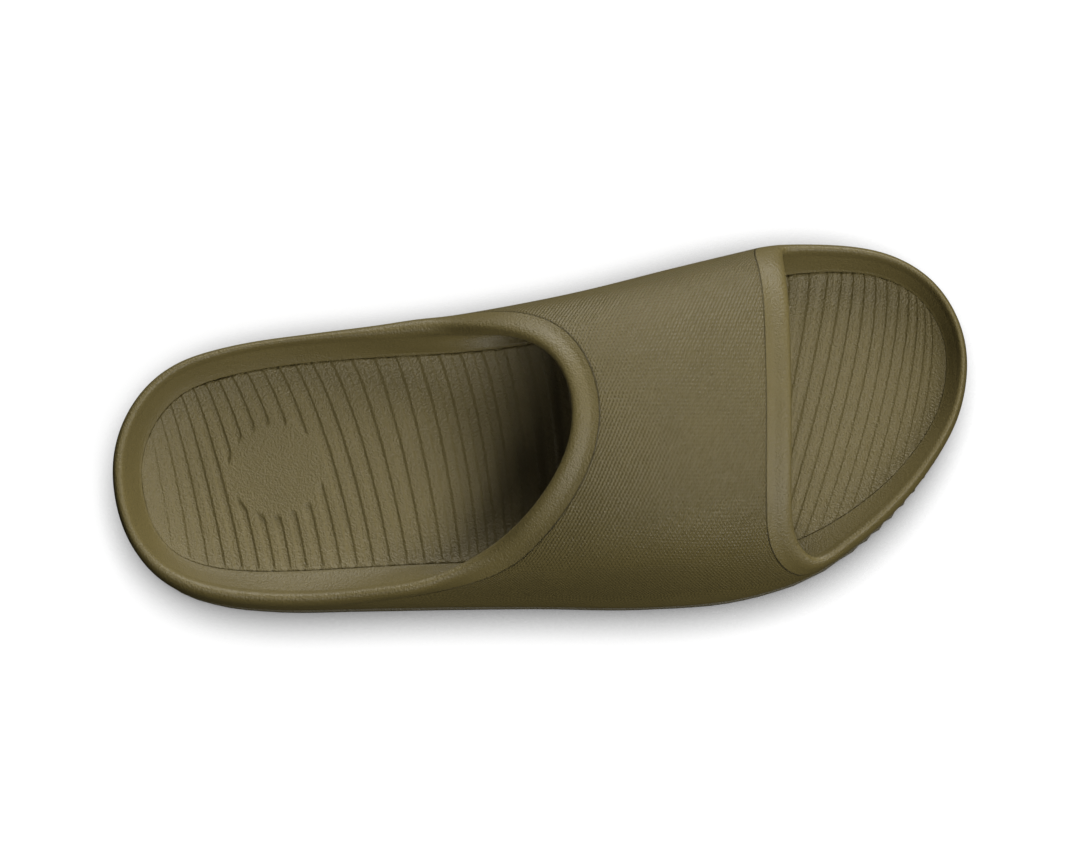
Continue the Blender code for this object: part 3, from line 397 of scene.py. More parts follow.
class Shape:
    """The sandal's surfaces, worked out from its sizes and tables."""

    def __init__(self, scene):
        self.body = scene.slide_body_sizes
        self.bed = scene.slide_bed_sizes
        self.tread = scene.slide_tread_sizes
        rows = np.array(OUTLINE, dtype=float)
        rows[:, 0] *= self.body.length
        rows[:, 1] *= self.body.ball_width
        lap = 3
        looped = np.vstack((rows[-lap:], rows, rows[:lap + 1]))
        steps = np.linalg.norm(np.diff(looped[:, :2], axis=0), axis=1)
        travel = np.concatenate(([0.0], np.cumsum(steps)))
        travel -= travel[lap]
        self.total = float(travel[lap + len(rows)])
        self.curves = {name: Curve(travel, looped[:, i]) for i, name in enumerate(OUTLINE_COLUMNS)}
        self.profiles = {
            name: Curve(column(PROFILE, PROFILE_COLUMNS, "along"), column(PROFILE, PROFILE_COLUMNS, name))
            for name in PROFILE_COLUMNS
        }
        ts = np.linspace(0.3, 0.7, 401) * self.total
        self.toe = float(ts[np.argmax([self.read("along", t) for t in ts])])
        self.bed_edges = self.trace_bed()
        self.bed_border = np.array([
            self.point(t, self.bed_in(t))[0] for t in np.linspace(0, self.total, 700)])

    def read(self, name, t):
        """A column of the outline at travelled length t."""
        return self.curves[name](t % self.total)

    def bed_in(self, t):
        """How far the footbed's recess lies inside the outline at t."""
        return self.bed.inset * self.read("bed_in", t)

    def point(self, t, inset=0.0):
        """Plan position (across, along) at t, moved inward by inset, and the outward direction."""
        step = self.total * 1e-4
        here = np.array((self.read("across", t), self.read("along", t)))
        ahead = np.array((self.read("across", t + step), self.read("along", t + step)))
        behind = np.array((self.read("across", t - step), self.read("along", t - step)))
        run = unit(ahead - behind)
        inward = np.array((run[1], -run[0]))
        return here + inward * inset, -inward

    def at(self, side, share):
        """Travelled length where one side reaches a share of the length."""
        low, high = (0.0, self.toe) if side == "inner" else (self.total, self.toe)
        for _ in range(40):
            middle = (low + high) / 2
            if self.read("along", middle) < share * self.body.length:
                low = middle
            else:
                high = middle
        return (low + high) / 2

    def trace_bed(self):
        """The footbed's own edge, a gap inside its recess, as y and x of each side."""
        edges = {}
        for side, start in (("inner", 0.0), ("outer", self.total)):
            points = np.array([
                self.point(t, self.bed_in(t) + SEAM)[0] for t in np.linspace(start, self.toe, 500)])
            edges[side] = (np.maximum.accumulate(points[:, 1]), points[:, 0])
        return edges

    def bed_side(self, side, y):
        """How far across the footbed's edge lies at y."""
        ys, xs = self.bed_edges[side]
        return float(np.interp(y, ys, xs))

    @functools.lru_cache(maxsize=None)
    def side_position(self, side, y):
        """How far across the sole's side lies at y."""
        return self.point(self.at(side, y / self.body.length))[0][0]

    def profile(self, name, y):
        """A column of the profile table at y."""
        return self.profiles[name](y / self.body.length)

    def bed_height(self, y):
        """Height of the footbed between its ribs."""
        return self.bed.height * self.profile("bed", y)

    def floor_height(self, y):
        """Height of the tread's underside: flat from heel to ball, sprung at both ends."""
        toe = max(y / self.body.length - TOE_SPRING[0], 0.0) / TOE_SPRING[1]
        heel = max(HEEL_SPRING[0] - y / self.body.length, 0.0) / HEEL_SPRING[1]
        return self.body.toe_spring * toe ** TOE_SPRING[2] + self.body.heel_spring * heel ** HEEL_SPRING[2]

    def body_bottom(self, y):
        """Height of the tub's underside, just above the tread."""
        return self.floor_height(y) + self.tread.thickness + self.body.gap

    def shell(self, y, w):
        """The band's outer surface: w runs from 0 at the inner base over the top to 1 at the outer base."""
        ridge = self.body.ball_width * self.profile("ridge", y)
        crown = self.body.band_height * self.profile("crown", y)
        angle = math.pi * w
        if w < 0.5:
            reach = self.side_position("inner", y) + self.body.shoulder * 0.5 - ridge
            power = 2 / ROUND_INNER
        else:
            reach = self.side_position("outer", y) - self.body.shoulder - ridge
            power = 2 / ROUND_OUTER
        x = ridge + reach * abs(math.cos(angle)) ** power
        base = self.body.band_base
        return np.array((x, y, base + (crown - base) * max(math.sin(angle), 0.0) ** power))

    def shell_normal(self, y, w):
        """Outward direction of the band's surface."""
        step = 0.0005
        along = self.shell(y + step, w) - self.shell(y - step, w)
        held = min(max(w, 0.02), 0.98)
        normal = unit(np.cross(self.shell(y, held + 0.004) - self.shell(y, held - 0.004), along))
        ridge = self.body.ball_width * self.profile("ridge", y)
        outward = self.shell(y, w) - np.array((ridge, y, self.body.band_base))
        return normal if normal @ outward > 0 else -normal

    def shell_share(self, y, across):
        """The w at which the band's surface lies a given distance across."""
        low, high = 0.0, 1.0
        for _ in range(40):
            middle = (low + high) / 2
            if self.shell(y, middle)[0] < across:
                low = middle
            else:
                high = middle
        return (low + high) / 2

    def cling(self, point, w):
        """The place (y, w) on the band's surface nearest to a point."""
        y = point[1]
        for _ in range(6):
            here = self.shell(y, w)
            by_y = (self.shell(y + 1e-4, w) - here) / 1e-4
            by_w = (self.shell(y, w + 1e-3) - here) / 1e-3
            step = np.linalg.lstsq(np.stack((by_y, by_w), axis=1), point - here, rcond=None)[0]
            y += step[0] * 0.8
            w = min(max(w + step[1] * 0.8, 0.01), 0.99)
        return y, w

    @functools.lru_cache(maxsize=None)
    def arc(self, w):
        """Length over the band's middle section from its inner base to w."""
        y = self.body.length * WEAVE_ALONG
        ws = np.linspace(0.0, 1.0, 121)
        steps = np.linalg.norm(np.diff([self.shell(y, one) for one in ws], axis=0), axis=1)
        return float(np.interp(w, ws, np.concatenate(([0.0], np.cumsum(steps)))))

    def stations(self):
        """Travelled lengths of the strips round the sole, with the collar and front corners among them."""
        marks = (
            (0.0, HEEL_INNER),
            (self.at("inner", COLLAR_CORNERS["inner"][0]), BAND_STRIPS),
            (self.at("inner", FRONT_CORNERS["inner"][0]), TOE_INNER),
            (self.toe, TOE_OUTER),
            (self.at("outer", FRONT_CORNERS["outer"][0]), BAND_STRIPS),
            (self.at("outer", COLLAR_CORNERS["outer"][0]), HEEL_OUTER),
            (self.total, 0),
        )
        result = []
        for (start, count), (end, _) in zip(marks, marks[1:]):
            result += [start + (end - start) * k / count for k in range(count)]
        return result

    def rim_tips(self, start, end, count):
        """The rim's own stations between its two corners, its top there and its outward direction."""
        lengths = [start + (end - start) * k / count for k in range(count + 1)]
        tips, normals = [], []
        for t in lengths:
            plan, outward = self.point(t, self.body.wall * self.read("rim_in", t))
            tips.append(np.array((plan[0], plan[1], self.body.rim_height * self.read("rim", t))))
            normals.append(np.array((outward[0], outward[1], 0.0)))
        return lengths, tips, normals

    def bead_loops(self, tips, normals, thicks, shares, places, middle):
        """Rings from the panel's border to the inner crease round one opening."""
        rings = [[] for _ in BEAD]
        backs = []
        for i, tip in enumerate(tips):
            run = unit(tips[(i + 1) % len(tips)] - tips[i - 1])
            normal = unit(normals[i] - run * (normals[i] @ run))
            toward = np.cross(normal, run)
            if toward @ (middle - tip) < 0:
                toward = -toward
            backs.append(tip - toward * self.body.rim_depth)
            for ring, (back, band, rim, _) in zip(rings, BEAD):
                out = rim + (band - rim) * shares[i]
                depth = out * self.body.wall * (thicks[i] if out < -0.3 else 1.0)
                base = tip - toward * back * self.body.rim_depth
                if places[i] is not None and back > 0.2:
                    base = self.shell(*self.cling(base, places[i]))
                ring.append(base + normal * depth)
        return backs, [tighten(ring) for ring in rings]

    def lift(self, points):
        """Rise of the bed toward its edge at each plan position."""
        apart = np.array(points)[:, None, :] - self.bed_border[None, :, :]
        gaps = np.sqrt((apart ** 2).sum(axis=2).min(axis=1))
        return self.bed.cup * np.maximum(1 - gaps / self.bed.cup_reach, 0.0) ** 2

    def band_edge(self, name):
        """Tips, directions and surface shares of one edge of the band, from the inner to the outer side."""
        tips, normals, shares = [], [], []
        ys = column(EDGES, EDGE_COLUMNS, name + "_along") * self.body.length
        xs = column(EDGES, EDGE_COLUMNS, name + "_across") * self.body.ball_width
        for y, x in zip(ys, xs):
            w = self.shell_share(y, x)
            tips.append(self.shell(y, w))
            normals.append(self.shell_normal(y, w))
            shares.append(w)
        return tips, normals, shares


class Cage:
    """Control mesh under construction, with named values at its points for the finishes to read."""

    def __init__(self):
        self.points = []
        self.faces = []
        self.creases = []
        self.values = {}

    def add(self, points, **values):
        """Add points and return their numbers."""
        start = len(self.points)
        self.points += [tuple(float(c) for c in point) for point in points]
        numbers = list(range(start, len(self.points)))
        for name, value in values.items():
            for number, one in zip(numbers, value):
                self.values.setdefault(name, {})[number] = one
        return numbers

    def strip(self, one, other, closed=True):
        """Quads between two rows of points."""
        last = len(one) if closed else len(one) - 1
        for i in range(last):
            j = (i + 1) % len(one)
            self.faces.append((one[i], one[j], other[j], other[i]))

    def crease(self, row, weight, closed=True):
        """Keep an edge line sharp."""
        last = len(row) if closed else len(row) - 1
        self.creases += [(row[i], row[(i + 1) % len(row)], weight) for i in range(last)]

    def rungs(self, ring, heights, lift):
        """The faces of a floor that closes a ring, by a middle line of points, each with its number."""
        half = len(ring) // 2
        middles = [ring[0]]
        for i in range(1, half):
            inner, outer = self.points[ring[i]], self.points[ring[-i]]
            y = (inner[1] + outer[1]) / 2
            middles += self.add([((inner[0] + outer[0]) / 2, y, heights(y) + lift)])
        middles.append(ring[half])
        for i in range(half):
            j = i + 1
            yield i, tuple(dict.fromkeys((ring[i], ring[j], middles[j], middles[i])))
            yield i, tuple(dict.fromkeys((middles[i], middles[j], ring[-j], ring[-i])))

    def ladder(self, ring, heights, lift):
        """Close a ring with a floor."""
        self.faces += [face for _, face in self.rungs(ring, heights, lift)]

    def build(self, name, place):
        """Turn the control mesh into an object, moved to its place in the frame."""
        mesh = bpy.data.meshes.new(name)
        bm = bmesh.new()
        verts = [bm.verts.new(Vector(point) + place) for point in self.points]
        for face in self.faces:
            bm.faces.new([verts[i] for i in face])
        layer = bm.edges.layers.float.new("crease_edge")
        for a, b, weight in self.creases:
            bm.edges.get((verts[a], verts[b]))[layer] = weight
        bmesh.ops.recalc_face_normals(bm, faces=bm.faces)
        if bm.calc_volume(signed=True) < 0:
            bmesh.ops.reverse_faces(bm, faces=bm.faces)
        bm.to_mesh(mesh)
        bm.free()
        for key, numbers in self.values.items():
            attribute = mesh.attributes.new(key, "FLOAT", "POINT")
            values = np.zeros(len(mesh.vertices), dtype=np.float32)
            for number, value in numbers.items():
                values[number] = value
            attribute.data.foreach_set("value", values)
        mesh.shade_smooth()
        obj = bpy.data.objects.new(name, mesh)
        bpy.context.scene.collection.objects.link(obj)
        return obj


def frame_place(shape):
    """The move from the shape's own axes to the frame: both have the tread's outline."""
    low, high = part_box("outsole")
    plans = np.array([shape.point(t, TREAD_INSET)[0] for t in np.linspace(0, shape.total, 1200)])
    middle = (plans.min(axis=0) + plans.max(axis=0)) / 2
    return Vector(((low.x + high.x) / 2 - middle[0], (low.y + high.y) / 2 - middle[1], 0.0))


def finished(obj):
    """Apply the modifiers, so that the piece is a plain mesh, and hand it to the frame."""
    graph = bpy.context.evaluated_depsgraph_get()
    mesh = bpy.data.meshes.new_from_object(obj.evaluated_get(graph))
    obj.modifiers.clear()
    obj.data = mesh
    mesh.name = obj.name
    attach(obj, "root")
    return obj


def build_body(shape):
    """Tub with its beaded rim and the hollow band over it, moulded whole."""
    body, bed = shape.body, shape.bed
    cage = Cage()
    lengths = shape.stations()
    count = len(lengths)
    front_in = HEEL_INNER + BAND_STRIPS
    front_out = front_in + TOE_INNER + TOE_OUTER
    collar_out = front_out + BAND_STRIPS

    collar_tips, collar_normals, collar_shares = shape.band_edge("collar")
    front_tips, front_normals, front_shares = shape.band_edge("front")
    heel_lengths, heel_tips, heel_normals = shape.rim_tips(
        shape.at("outer", COLLAR_CORNERS["outer"][1]) - shape.total,
        shape.at("inner", COLLAR_CORNERS["inner"][1]), HEEL_OUTER + HEEL_INNER)
    toe_lengths, toe_tips, toe_normals = shape.rim_tips(
        shape.at("inner", FRONT_CORNERS["inner"][1]),
        shape.at("outer", FRONT_CORNERS["outer"][1]), TOE_INNER + TOE_OUTER)
    for tip in (toe_tips[0], toe_tips[-1]):
        tip[2] += FRONT_CORNER_RISE

    edge_count = len(EDGES)
    plain_count = edge_count - len(INNER_BLEND) - len(OUTER_BLEND)
    band_shares = [*INNER_BLEND, *[1.0] * plain_count, *OUTER_BLEND[::-1]]
    heel_shares = [*RIM_BLEND, *[0.0] * (len(heel_tips) - len(RIM_BLEND))]
    toe_shares = [*[0.0] * (len(toe_tips) - len(RIM_BLEND)), *RIM_BLEND[::-1]]
    collar_thick = list(COLLAR_EXTRA) + [1.0] * (edge_count - len(COLLAR_EXTRA))
    heel_thick = [shape.read("thick", t) for t in heel_lengths]
    toe_thick = [shape.read("thick", t) for t in toe_lengths]
    spans = np.array((body.ball_width, body.length, body.band_height))
    collar_backs, collar_rings = shape.bead_loops(
        heel_tips + collar_tips, heel_normals + collar_normals, heel_thick + collar_thick,
        heel_shares + band_shares, [None] * len(heel_tips) + collar_shares, spans * COLLAR_MIDDLE)
    toe_backs, toe_rings = shape.bead_loops(
        toe_tips + front_tips[::-1], toe_normals + front_normals[::-1], toe_thick + [1.0] * edge_count,
        toe_shares + band_shares[::-1], [None] * len(toe_tips) + front_shares[::-1], spans * TOE_MIDDLE)
    collar_places = [shape.cling(p, w) for p, w in zip(collar_backs[len(heel_tips):], collar_shares)]
    front_places = [shape.cling(p, w) for p, w in zip(toe_backs[len(toe_tips):][::-1], front_shares)]

    def lip(t):
        return body.toe_lip * shape.read("lip", t)

    top_points = {}
    heel_order = list(range(collar_out, count)) + list(range(0, HEEL_INNER + 1))
    toe_order = list(range(front_in, front_out + 1))
    collar_top, toe_top = collar_rings[0], toe_rings[0]
    top_points.update(zip(heel_order, collar_top))
    top_points.update(zip(toe_order, toe_top))

    def base_row(points, first, last, inset):
        for number in range(first + 1, last):
            share = (number - first) / (last - first)
            ends = points[first][2] * (1 - share) + points[last][2] * share
            dip = math.sin(math.pi * share) ** 0.5
            plan, _ = shape.point(lengths[number], inset)
            points[number] = np.array((plan[0], plan[1], ends + (body.band_base - ends) * dip))

    base_row(top_points, HEEL_INNER, front_in, body.shoulder * 0.5)
    base_row(top_points, front_out, collar_out, body.shoulder)
    top = [top_points[i] for i in range(count)]

    def ring(inset, height):
        points = []
        for number, t in enumerate(lengths):
            plan, _ = shape.point(t, inset(t))
            points.append(np.array((plan[0], plan[1], height(number, plan[1]))))
        return tighten(points)

    def between(share):
        def height(number, y):
            bottom = shape.body_bottom(y)
            return bottom + (top[number][2] - bottom) * share
        return height

    def woven(places):
        return {
            "arc": [shape.arc(w) for _, w in places],
            "along": [y for y, _ in places],
            "panel": [1.0] * len(places)}

    def side_values(points, sunk):
        arcs = []
        for number in range(count):
            inner_side = number < (front_in + front_out) / 2
            arcs.append(-sunk if inner_side else shape.arc(1.0) + sunk)
        panels = [
            0.0 if sunk or number in heel_order[1:-1] or number in toe_order[1:-1] else 1.0
            for number in range(count)]
        return {"arc": arcs, "along": [point[1] for point in points], "panel": panels}

    foot_row = cage.add(ring(lambda t: lip(t) + body.shoulder, lambda n, y: shape.body_bottom(y)))
    skirt_row = cage.add(ring(lambda t: lip(t) + body.shoulder * SKIRT_ROW[1], between(SKIRT_ROW[0])))
    side = ring(lip, between(SIDE_ROW))
    side_row = cage.add(side, **side_values(side, body.band_base * 0.3))
    top_row = cage.add(top, **side_values(top, 0.0))
    for one, other in ((foot_row, skirt_row), (skirt_row, side_row), (side_row, top_row)):
        cage.strip(one, other)

    def grid(ends_in, ends_out, first_column, last_column, surface, textured):
        rows = [ends_in]
        for i in range(ACROSS_STRIPS - 1):
            row = [first_column[i]]
            for j in range(1, BAND_STRIPS):
                share = j / BAND_STRIPS
                y, w = (
                    collar_places[i][k] * (1 - share) + front_places[i][k] * share for k in (0, 1))
                row += cage.add([surface(y, w)], **(woven([(y, w)]) if textured else {}))
            rows.append(row + [last_column[i]])
        rows.append(ends_out)
        for one, other in zip(rows, rows[1:]):
            cage.strip(one, other, closed=False)

    collar_first = cage.add(collar_top[len(heel_tips):], **woven(collar_places))
    front_first = cage.add(toe_top[len(toe_tips):][::-1], **woven(front_places))
    grid(top_row[HEEL_INNER:front_in + 1], top_row[front_out:collar_out + 1][::-1],
         collar_first, front_first,
         lambda y, w: shape.shell(y, w) + shape.shell_normal(y, w) * body.wall * PANEL_PROUD, True)

    inner_top = {}
    inner_top.update(zip(heel_order, collar_rings[-1]))
    inner_top.update(zip(toe_order, toe_rings[-1]))
    base_row(inner_top, HEEL_INNER, front_in, body.wall + body.shoulder)
    base_row(inner_top, front_out, collar_out, body.wall + body.shoulder)
    lining_row = cage.add([inner_top[i] for i in range(count)])

    collar_ring = [top_row[i] for i in heel_order] + collar_first
    toe_ring = [top_row[i] for i in toe_order] + front_first[::-1]
    collar_lining = cage.add(collar_rings[-1][len(heel_tips):])
    front_lining = cage.add(toe_rings[-1][len(toe_tips):][::-1])
    ends = (
        (collar_ring, collar_rings, [lining_row[i] for i in heel_order] + collar_lining),
        (toe_ring, toe_rings, [lining_row[i] for i in toe_order] + front_lining[::-1]),
    )
    crisp = column(BEAD, BEAD_COLUMNS, "crisp")
    for current, loops, last in ends:
        cage.crease(current, crisp[0])
        for loop, weight in zip(loops[1:-1], crisp[1:-1]):
            following = cage.add(loop)
            cage.strip(current, following)
            cage.crease(following, weight)
            current = following
        cage.strip(current, last)
    for order in (heel_order, toe_order):
        cage.crease([lining_row[i] for i in order], crisp[-1], closed=False)

    grid(lining_row[HEEL_INNER:front_in + 1], lining_row[front_out:collar_out + 1][::-1],
         collar_lining, front_lining,
         lambda y, w: shape.shell(y, w) - shape.shell_normal(y, w) * body.wall, False)

    def brink_height(_, y):
        return shape.bed_height(y) + bed.rib_height + bed.step + bed.cup

    slope = []
    for number, t in enumerate(lengths):
        plan, _ = shape.point(t, shape.bed_in(t))
        x, y = plan + (np.array(inner_top[number][:2]) - plan) * SLOPE_ROW[0]
        low = brink_height(number, y)
        slope.append(np.array((x, y, low + (inner_top[number][2] - low) * SLOPE_ROW[1])))
    slope_row = cage.add(tighten(slope))
    brink_row = cage.add(ring(lambda t: shape.bed_in(t) - bed.brink_edge, brink_height))
    bevel_row = cage.add(ring(shape.bed_in, lambda n, y: brink_height(n, y) - bed.brink_edge))
    seat_lift = -bed.thickness - body.gap
    seat_row = cage.add(ring(shape.bed_in, lambda n, y: shape.bed_height(y) + seat_lift))
    sunk_rows = (lining_row, slope_row, brink_row, bevel_row, seat_row)
    for one, other in zip(sunk_rows, sunk_rows[1:]):
        cage.strip(one, other)
    for row in (brink_row, bevel_row, seat_row):
        cage.crease(row, 1.0)
    cage.crease(foot_row, FOOT_CRISP)
    cage.ladder(seat_row, shape.bed_height, seat_lift)
    cage.ladder(foot_row, shape.body_bottom, 0.0)

    obj = cage.build("moulded_body", frame_place(shape))
    rounding = obj.modifiers.new("rounding", "SUBSURF")
    rounding.levels = rounding.render_levels = body.smoothing
    return obj


def build_bed(shape):
    """Footbed as a fine plain bed with the groove number at each point, for the groove nodes to cut."""
    body, bed = shape.body, shape.bed
    counts = column(RIBS, RIB_COLUMNS, "count")
    places = [Curve(counts, column(RIBS, RIB_COLUMNS, name) * body.length) for name in RIB_COLUMNS[:3]]
    ends = [shape.point(t, shape.bed_in(t) + SEAM)[0][1] for t in (0.0, shape.toe)]
    first = [place(counts[0]) for place in places]
    rows = [[ends[0] + (y - ends[0]) * share for y in first] + [counts[0]] for share in HEEL_ROWS]
    total = int((counts[-1] - counts[0]) * STEPS_A_GROOVE)
    numbers = [counts[0] + k / STEPS_A_GROOVE for k in range(total + 1)]
    rows += [[place(number) for place in places] + [number] for number in numbers]
    last = rows[-1][:3]
    rows += [[y + (ends[1] - y) * share for y in last] + [counts[-1]] for share in TOE_ROWS]
    spread = [k / BED_COLUMNS for k in range(BED_COLUMNS + 1)]

    cage = Cage()
    deepest = bed.thickness + bed.cup + bed.rib_height
    tops, bottoms = [], []
    for inner_y, outer_y, middle_y, number in rows:
        inner = (shape.bed_side("inner", inner_y), inner_y)
        outer = (shape.bed_side("outer", outer_y), outer_y)
        bow = middle_y - (inner[1] + outer[1]) / 2
        width = outer[0] - inner[0]
        plans, ends_near = [], []
        for w in spread:
            skewed = w ** LEAN
            x = inner[0] * (1 - w) + outer[0] * w
            y = inner[1] * (1 - w) + outer[1] * w + bow * BOW * skewed * (1 - skewed)
            plans.append((x, y))
            disc = math.hypot(x - bed.disc_across, y - bed.disc_along) - bed.disc_radius
            near = min(w * width / 2 + BORDER_SIDE, (1 - w) * width - BORDER_SIDE, disc)
            ends_near.append(min(near, y - ends[0] - BORDER_TIP, ends[1] - y - BORDER_TIP))
        deep = [
            (DEEP_HEEL[0] + (1 - DEEP_HEEL[0]) * ease(y / body.length, *DEEP_HEEL[1:]))
            * (1 - DEEP_TOE[0] * ease(y / body.length, *DEEP_TOE[1:])) for _, y in plans]
        rises = shape.lift(plans)
        points = [(x, y, shape.bed_height(y) + bed.rib_height + rise) for (x, y), rise in zip(plans, rises)]
        tops.append(cage.add(points, rib=[number] * len(spread), end=ends_near, deep=deep))
        bottoms.append(cage.add([(x, y, z - deepest) for x, y, z in (points[0], points[-1])]))
    for group in (tops, bottoms):
        for one, other in zip(group, group[1:]):
            cage.strip(one, other, closed=False)
    for side in (0, -1):
        cage.strip([row[side] for row in tops], [row[side] for row in bottoms], closed=False)
    for end in (0, -1):
        cage.faces.append(tuple(tops[end] + bottoms[end][::-1]))
    return cage.build("ribbed_footbed", frame_place(shape))


def build_tread(shape):
    """Tread: toothed toe edge, transverse lugs underneath, sprung at heel and toe."""
    body, tread = shape.body, shape.tread
    halves = []
    for side, tip in (("inner", 0.0), ("outer", shape.total)):
        start = shape.at(side, TEETH_FROM[side])
        halves.append((tip, start, 2 * max(round(abs(shape.toe - start) / tread.tooth_pitch), 1)))
    teeth = max(half[2] for half in halves)
    plain = round(body.length * PLAIN_SHARE / (tread.tooth_pitch * PLAIN_PITCH)) // 2 * 2
    runs = []
    for tip, start, _ in halves:
        run = [tip + (start - tip) * k / plain for k in range(plain)]
        runs.append(run + [start + (shape.toe - start) * k / teeth for k in range(teeth)])
    lengths = runs[0] + [shape.toe] + runs[1][:0:-1]

    def ring(inset, lift, toothed):
        points = []
        for number, t in enumerate(lengths):
            tooth = tread.tooth_depth * (number % 2) * shape.read("lip", t) if toothed else 0.0
            plan, _ = shape.point(t, inset + tooth)
            points.append((plan[0], plan[1], shape.floor_height(plan[1]) + lift))
        return points

    cage = Cage()
    rings = []
    for shoulders, inset, thicknesses, lug_depths, toothed in TREAD_RINGS:
        height = tread.thickness * thicknesses + tread.lug_depth * lug_depths
        rings.append(cage.add(ring(body.shoulder * shoulders + inset, height, toothed)))
    for one, other in zip(rings, rings[1:]):
        cage.strip(one, other)
    cage.ladder(rings[0], shape.floor_height, tread.thickness)
    for i, face in cage.rungs(rings[-1], shape.floor_height, tread.lug_depth):
        if 0 < i < len(lengths) // 2 - 1 and i % 2 == 0:
            plans = np.array([cage.points[corner][:2] for corner in face])
            centre = plans.mean(axis=0)
            heights = [shape.floor_height(y) for _, y in plans]
            low_row = cage.add(np.column_stack((centre + (plans - centre) * LUG_TAPER, heights)))
            cage.strip(face, low_row)
            face = tuple(low_row)
        cage.faces.append(face)
    return cage.build("toothed_tread", frame_place(shape))


def node(tree, kind, settings=(), **links):
    """Add one node, set its values and link its inputs, named with _ for spaces or numbered i0, i1."""
    made = tree.nodes.new(kind)
    for key, value in dict(settings).items():
        setattr(made, key, value)
    for key, value in links.items():
        numbered = key[0] == "i" and key[1:].isdigit()
        socket = made.inputs[int(key[1:]) if numbered else key.replace("_", " ")]
        if isinstance(value, bpy.types.NodeSocket):
            tree.links.new(value, socket)
        else:
            socket.default_value = value
    return made


def new_material(name):
    """An empty material with its shader and output."""
    mat = bpy.data.materials.new(name)
    mat.use_nodes = True
    tree = mat.node_tree
    tree.nodes.clear()
    shader = node(tree, "ShaderNodeBsdfPrincipled")
    output = node(tree, "ShaderNodeOutputMaterial")
    tree.links.new(shader.outputs[0], output.inputs[0])
    return mat, tree, shader


# Waves of the band's etched weave: cycles per millimetre along and over the band, and how strong
WEAVE = (
    (0.77, 0.50, 1.00),
    (0.89, -0.28, 0.40),
    (-0.12, 0.78, 0.28),
)


def weave_height(tree, depth):
    """Height of the etched weave at a point of the band, from the lengths along and over it."""
    along, arc, panel = (
        node(tree, "ShaderNodeAttribute", {"attribute_name": name}).outputs["Fac"]
        for name in ("along", "arc", "panel"))
    turn = 2000 * math.pi
    total = 0.0
    for by_along, by_arc, strength in WEAVE:
        turns = node(tree, "ShaderNodeMath", {"operation": "MULTIPLY"}, i0=along, i1=by_along * turn)
        phase = node(tree, "ShaderNodeMath", {"operation": "MULTIPLY_ADD"},
                     i0=arc, i1=by_arc * turn, i2=turns.outputs[0])
        wave = node(tree, "ShaderNodeMath", {"operation": "COSINE"}, i0=phase.outputs[0])
        total = node(tree, "ShaderNodeMath", {"operation": "MULTIPLY_ADD"},
                     i0=wave.outputs[0], i1=strength, i2=total).outputs[0]
    shown = node(tree, "ShaderNodeMath", {"operation": "MULTIPLY"}, i0=panel, i1=depth)
    return node(tree, "ShaderNodeMath", {"operation": "MULTIPLY"}, i0=total, i1=shown.outputs[0]).outputs[0]


def foam_finish(name, colour, roughness, grain_mm=0.7, grain_depth=0.18, weave=0.0):
    """Injection-moulded EVA foam: matt skin, pebbled where the mould was etched, with a fine sparkle."""
    mat, tree, shader = new_material(name)
    place = node(tree, "ShaderNodeTexCoord").outputs["Object"]
    a_metre = 1000.0 / grain_mm
    pebbles = node(tree, "ShaderNodeTexVoronoi", {"feature": "SMOOTH_F1"}, Vector=place, Scale=a_metre)
    grain = node(tree, "ShaderNodeTexNoise", Vector=place, Scale=a_metre * 1.4, Detail=2.0)
    rough = node(tree, "ShaderNodeMath", {"operation": "SUBTRACT"},
                 i0=grain.outputs["Fac"], i1=pebbles.outputs["Distance"])
    height = node(tree, "ShaderNodeMath", {"operation": "MULTIPLY"}, i0=rough.outputs[0], i1=grain_depth)
    if weave:
        height = node(tree, "ShaderNodeMath", {"operation": "ADD"},
                      i0=height.outputs[0], i1=weave_height(tree, weave))
    bump = node(tree, "ShaderNodeBump", Height=height.outputs[0], Strength=1.0, Distance=0.001)
    # Clouds about 17 mm across, where the foam's tone drifts
    cloud = node(tree, "ShaderNodeTexNoise", Vector=place, Scale=60.0, Detail=5.0)
    tone = node(tree, "ShaderNodeMapRange", Value=cloud.outputs["Fac"], To_Min=0.90, To_Max=1.10)
    if weave:
        # The etched panel scatters more light, so it looks a little darker than the smooth beads
        panel = node(tree, "ShaderNodeAttribute", {"attribute_name": "panel"}).outputs["Fac"]
        duller = node(tree, "ShaderNodeMapRange", Value=panel, To_Min=1.0, To_Max=0.88)
        tone = node(tree, "ShaderNodeMath", {"operation": "MULTIPLY"},
                    i0=tone.outputs[0], i1=duller.outputs[0])
    shade = node(tree, "ShaderNodeVectorMath", {"operation": "SCALE"},
                 i0=tuple(colour), Scale=tone.outputs[0])
    tree.links.new(shade.outputs[0], shader.inputs["Base Color"])
    tree.links.new(bump.outputs[0], shader.inputs["Normal"])
    shader.inputs["Roughness"].default_value = roughness
    shader.inputs["IOR"].default_value = 1.49
    shader.inputs["Specular IOR Level"].default_value = 0.4
    return mat


